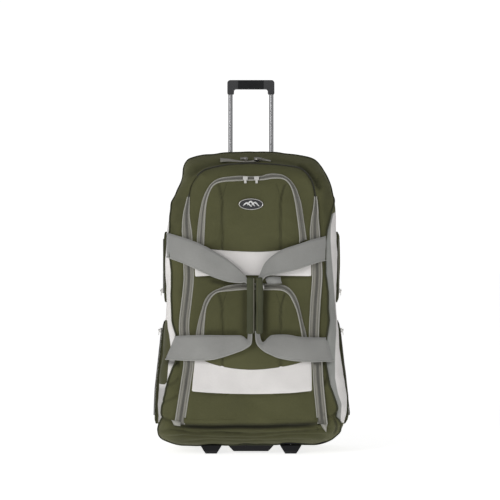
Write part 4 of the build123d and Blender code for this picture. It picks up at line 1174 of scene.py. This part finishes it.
# A folded end of webbing under the right handle's upper strap
flap = np.array([[(30, -149.5, 383), (46, -150.5, 384),
                  (63, -149, 383)], [(31, -151.5, 376), (46, -152.5, 376), (64, -151, 376)],
                 [(35, -150, 368.5), (48, -151, 368), (66, -149, 369)]], float)
flap_piece = grid("right_carry_strap_end", flap, "webbing", thickness=2.0)
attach(flap_piece, "right_carry")


GRIP_CENTRES = {"left": -1.6, "right": 17.3}  # both grips hang a little to the right of the middle


def sleeve(side_name, side):
    centre_x = GRIP_CENTRES[side_name]
    z = np.concatenate([[262, 262.6, 264], np.linspace(267, 377, 30), [380, 381.4, 382]])
    shrink = np.concatenate([[0.55, 0.8, 0.93], np.ones(30), [0.93, 0.8, 0.55]])
    angle = np.linspace(0, 2 * math.pi, 28, endpoint=False)
    rows = []
    for height, scale in zip(z, shrink):
        wave = 1 + 0.05 * math.sin(height / 9.0 + side) + 0.04 * rough((side * 5, 0, height), 18, 4)
        c, s = np.cos(angle), np.sin(angle)
        x = (7.6 if side < 0 else 8.0) * np.sign(c) * np.abs(c) ** 0.75 * scale * wave
        y = 8.3 * np.sign(s) * np.abs(s) ** 0.75 * scale * wave
        lean = 1.2 * math.sin((height - SLEEVE_LOW) / SLEEVE_LENGTH * math.pi)
        rows.append(np.column_stack([centre_x + x + lean * 0.6, SLEEVE_Y + y, np.full(28, height)]))
    obj = grid(f"{side_name}_grip_cloth", np.array(rows), "sleeve", wrap_v=True, cap=True, flip=True)
    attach(obj, f"{side_name}_carry")
    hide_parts(f"{side_name}_grip_sleeve")
    seam_x = centre_x - side * (7.4 if side < 0 else 4.0)
    line = np.array([(seam_x, -162.0 if side < 0 else -164.2, h) for h in np.linspace(264, 380, 30)])
    radius, cloth = (1.7, "edging") if side < 0 else (0.8, "thread")
    seam = tube(f"{side_name}_grip_binding", line, radius, cloth)
    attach(seam, f"{side_name}_carry")


sleeve("left", -1)
sleeve("right", 1)

# ---------------------------------------------------------------- badge
angle = np.linspace(0, 2 * math.pi, 64, endpoint=False)
badge_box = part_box("badge")
badge_front = badge_box[0].y / MM
badge_y = np.full(64, badge_front - 0.2)
badge_z = BADGE_CENTRE + BADGE_HALF_HEIGHT * np.sin(angle)
badge_edge = np.column_stack([BADGE_HALF_WIDTH * np.cos(angle), badge_y, badge_z])
badge_rim = tube("badge_rim", badge_edge, 1.0, "nickel", closed=True)
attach(badge_rim, "lid")
for k, (x0, x1, z0, lean) in enumerate([(-17, 2, 536, 4), (-8, 9, 538, 5), (1, 18, 537, 4)]):
    t = np.linspace(0, 1, 18)
    rise = z0 + lean * np.sin(t * math.pi * 1.6 - 0.6)
    wave = np.column_stack([x0 + (x1 - x0) * t, np.full(18, badge_front - 0.3), rise])
    mark = tube(f"badge_mark_{k}", wave, 0.5 + 1.4 * np.sin(np.pi * t), "emblem")
    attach(mark, "lid")

# ---------------------------------------------------------------- materials on the CAD nodes
CAD_MATERIALS = {
    "grip": ["grip_bar"],
    "grip_end": ["grip_corners"],
    "button": ["release_button", "push_yoke"],
    "tube": ["upper_tube_left", "upper_tube_right", "middle_tube_left", "middle_tube_right",
             "outer_tube_left", "outer_tube_right"],
    "steel": ["button_spring", "lock_bolt_left", "lock_bolt_right", "wheel_axles", "wheel_bearings_left",
              "wheel_bearings_right", "base_screws"],
    "black": ["middle_tube_collars", "handle_socket", "tube_bracket", "base_plate", "wheel_housing_left",
              "wheel_housing_right", "skid_rails"],
    "skid": ["base_skid"],
    "tyre": ["wheel_tyre_left", "wheel_tyre_right"],
    "hub": ["wheel_hub_left", "wheel_hub_right"],
    "badge": ["badge"],
    "green": ["front_frame", "left_side_panel", "right_side_panel", "top_panel", "bottom_panel", "back_panel",
              "lid_panel", "upper_pocket", "lower_pocket", "left_upper_side_pocket", "left_lower_side_pocket",
              "right_upper_side_pocket", "right_lower_side_pocket"],
    "webbing": ["left_carry_webbing", "right_carry_webbing"],
    "sleeve": ["left_grip_sleeve", "right_grip_sleeve"],
}
named = {node for nodes in CAD_MATERIALS.values() for node in nodes}
CAD_MATERIALS["nickel"] = [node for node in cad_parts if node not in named]
for material, nodes in CAD_MATERIALS.items():
    for node in nodes:
        use(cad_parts[node], material)
for owner in straps:
    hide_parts(owner + "_webbing")

# ---------------------------------------------------------------- floor, light and camera
floor_mesh = bpy.data.meshes.new("floor")
floor_mesh.from_pydata([(-30, -12, 0), (30, -12, 0), (30, 40, 0), (-30, 40, 0)], [], [(0, 1, 2, 3)])
floor = add_object("floor", floor_mesh)
floor_material, _, floor_shader = new_material("floor_paper", (0.85, 0.85, 0.85), 0.9)
floor_shader.inputs["Emission Color"].default_value = (1, 1, 1, 1)
floor_shader.inputs["Emission Strength"].default_value = 0.78
floor.data.materials.append(floor_material)


def area_light(name, position, target, size, power):
    light = bpy.data.lights.new(name, "AREA")
    light.shape = "SQUARE"
    light.size = size
    light.energy = power
    obj = add_object(name, light)
    obj.location = position
    obj.rotation_mode = "QUATERNION"
    obj.rotation_quaternion = (Vector(target) - Vector(position)).to_track_quat("-Z", "Y")


BAG_MIDDLE = (0, 0, 0.35)
area_light("key", (-2.4, -3.9, 1.7), BAG_MIDDLE, 1.6, 80)
area_light("fill", (3.0, -3.4, 1.2), BAG_MIDDLE, 2.4, 8)

# Soft surroundings: white along the horizon, and dimmer above and below it
world = bpy.data.worlds.new("studio")
world.use_nodes = True
sky = world.node_tree
direction = sky.nodes.new("ShaderNodeTexCoord").outputs["Generated"]
height_split = sky.nodes.new("ShaderNodeSeparateXYZ")
sky.links.new(direction, height_split.inputs[0])
band = sky.nodes.new("ShaderNodeMapRange")
band.interpolation_type = "SMOOTHSTEP"
sky.links.new(math_node(sky, "ABSOLUTE", height_split.outputs[2]), band.inputs["Value"])
for socket, value in (("From Min", 0.11), ("From Max", 0.16), ("To Min", 1.05), ("To Max", 0.25)):
    band.inputs[socket].default_value = value
sky.links.new(band.outputs["Result"], sky.nodes["Background"].inputs[1])
sky.nodes["Background"].inputs[0].default_value = (1, 1, 1, 1)
bpy.context.scene.world = world
bpy.context.scene.view_settings.view_transform = "Standard"

camera_data = bpy.data.cameras.new("camera")
camera = add_object("camera", camera_data)
camera.location = (-0.002, -5.0, 0.44)
camera.rotation_euler = (math.pi / 2, 0, 0)
SENSOR = 36
DISTANCE, MM_PER_PIXEL, PICTURE = 5000, 2.19, 500  # from the bag's middle, its scale there, pixels across
camera_data.sensor_width = SENSOR
camera_data.lens = SENSOR * DISTANCE / MM_PER_PIXEL / PICTURE
camera_data.clip_end = 200
bpy.context.scene.camera = camera
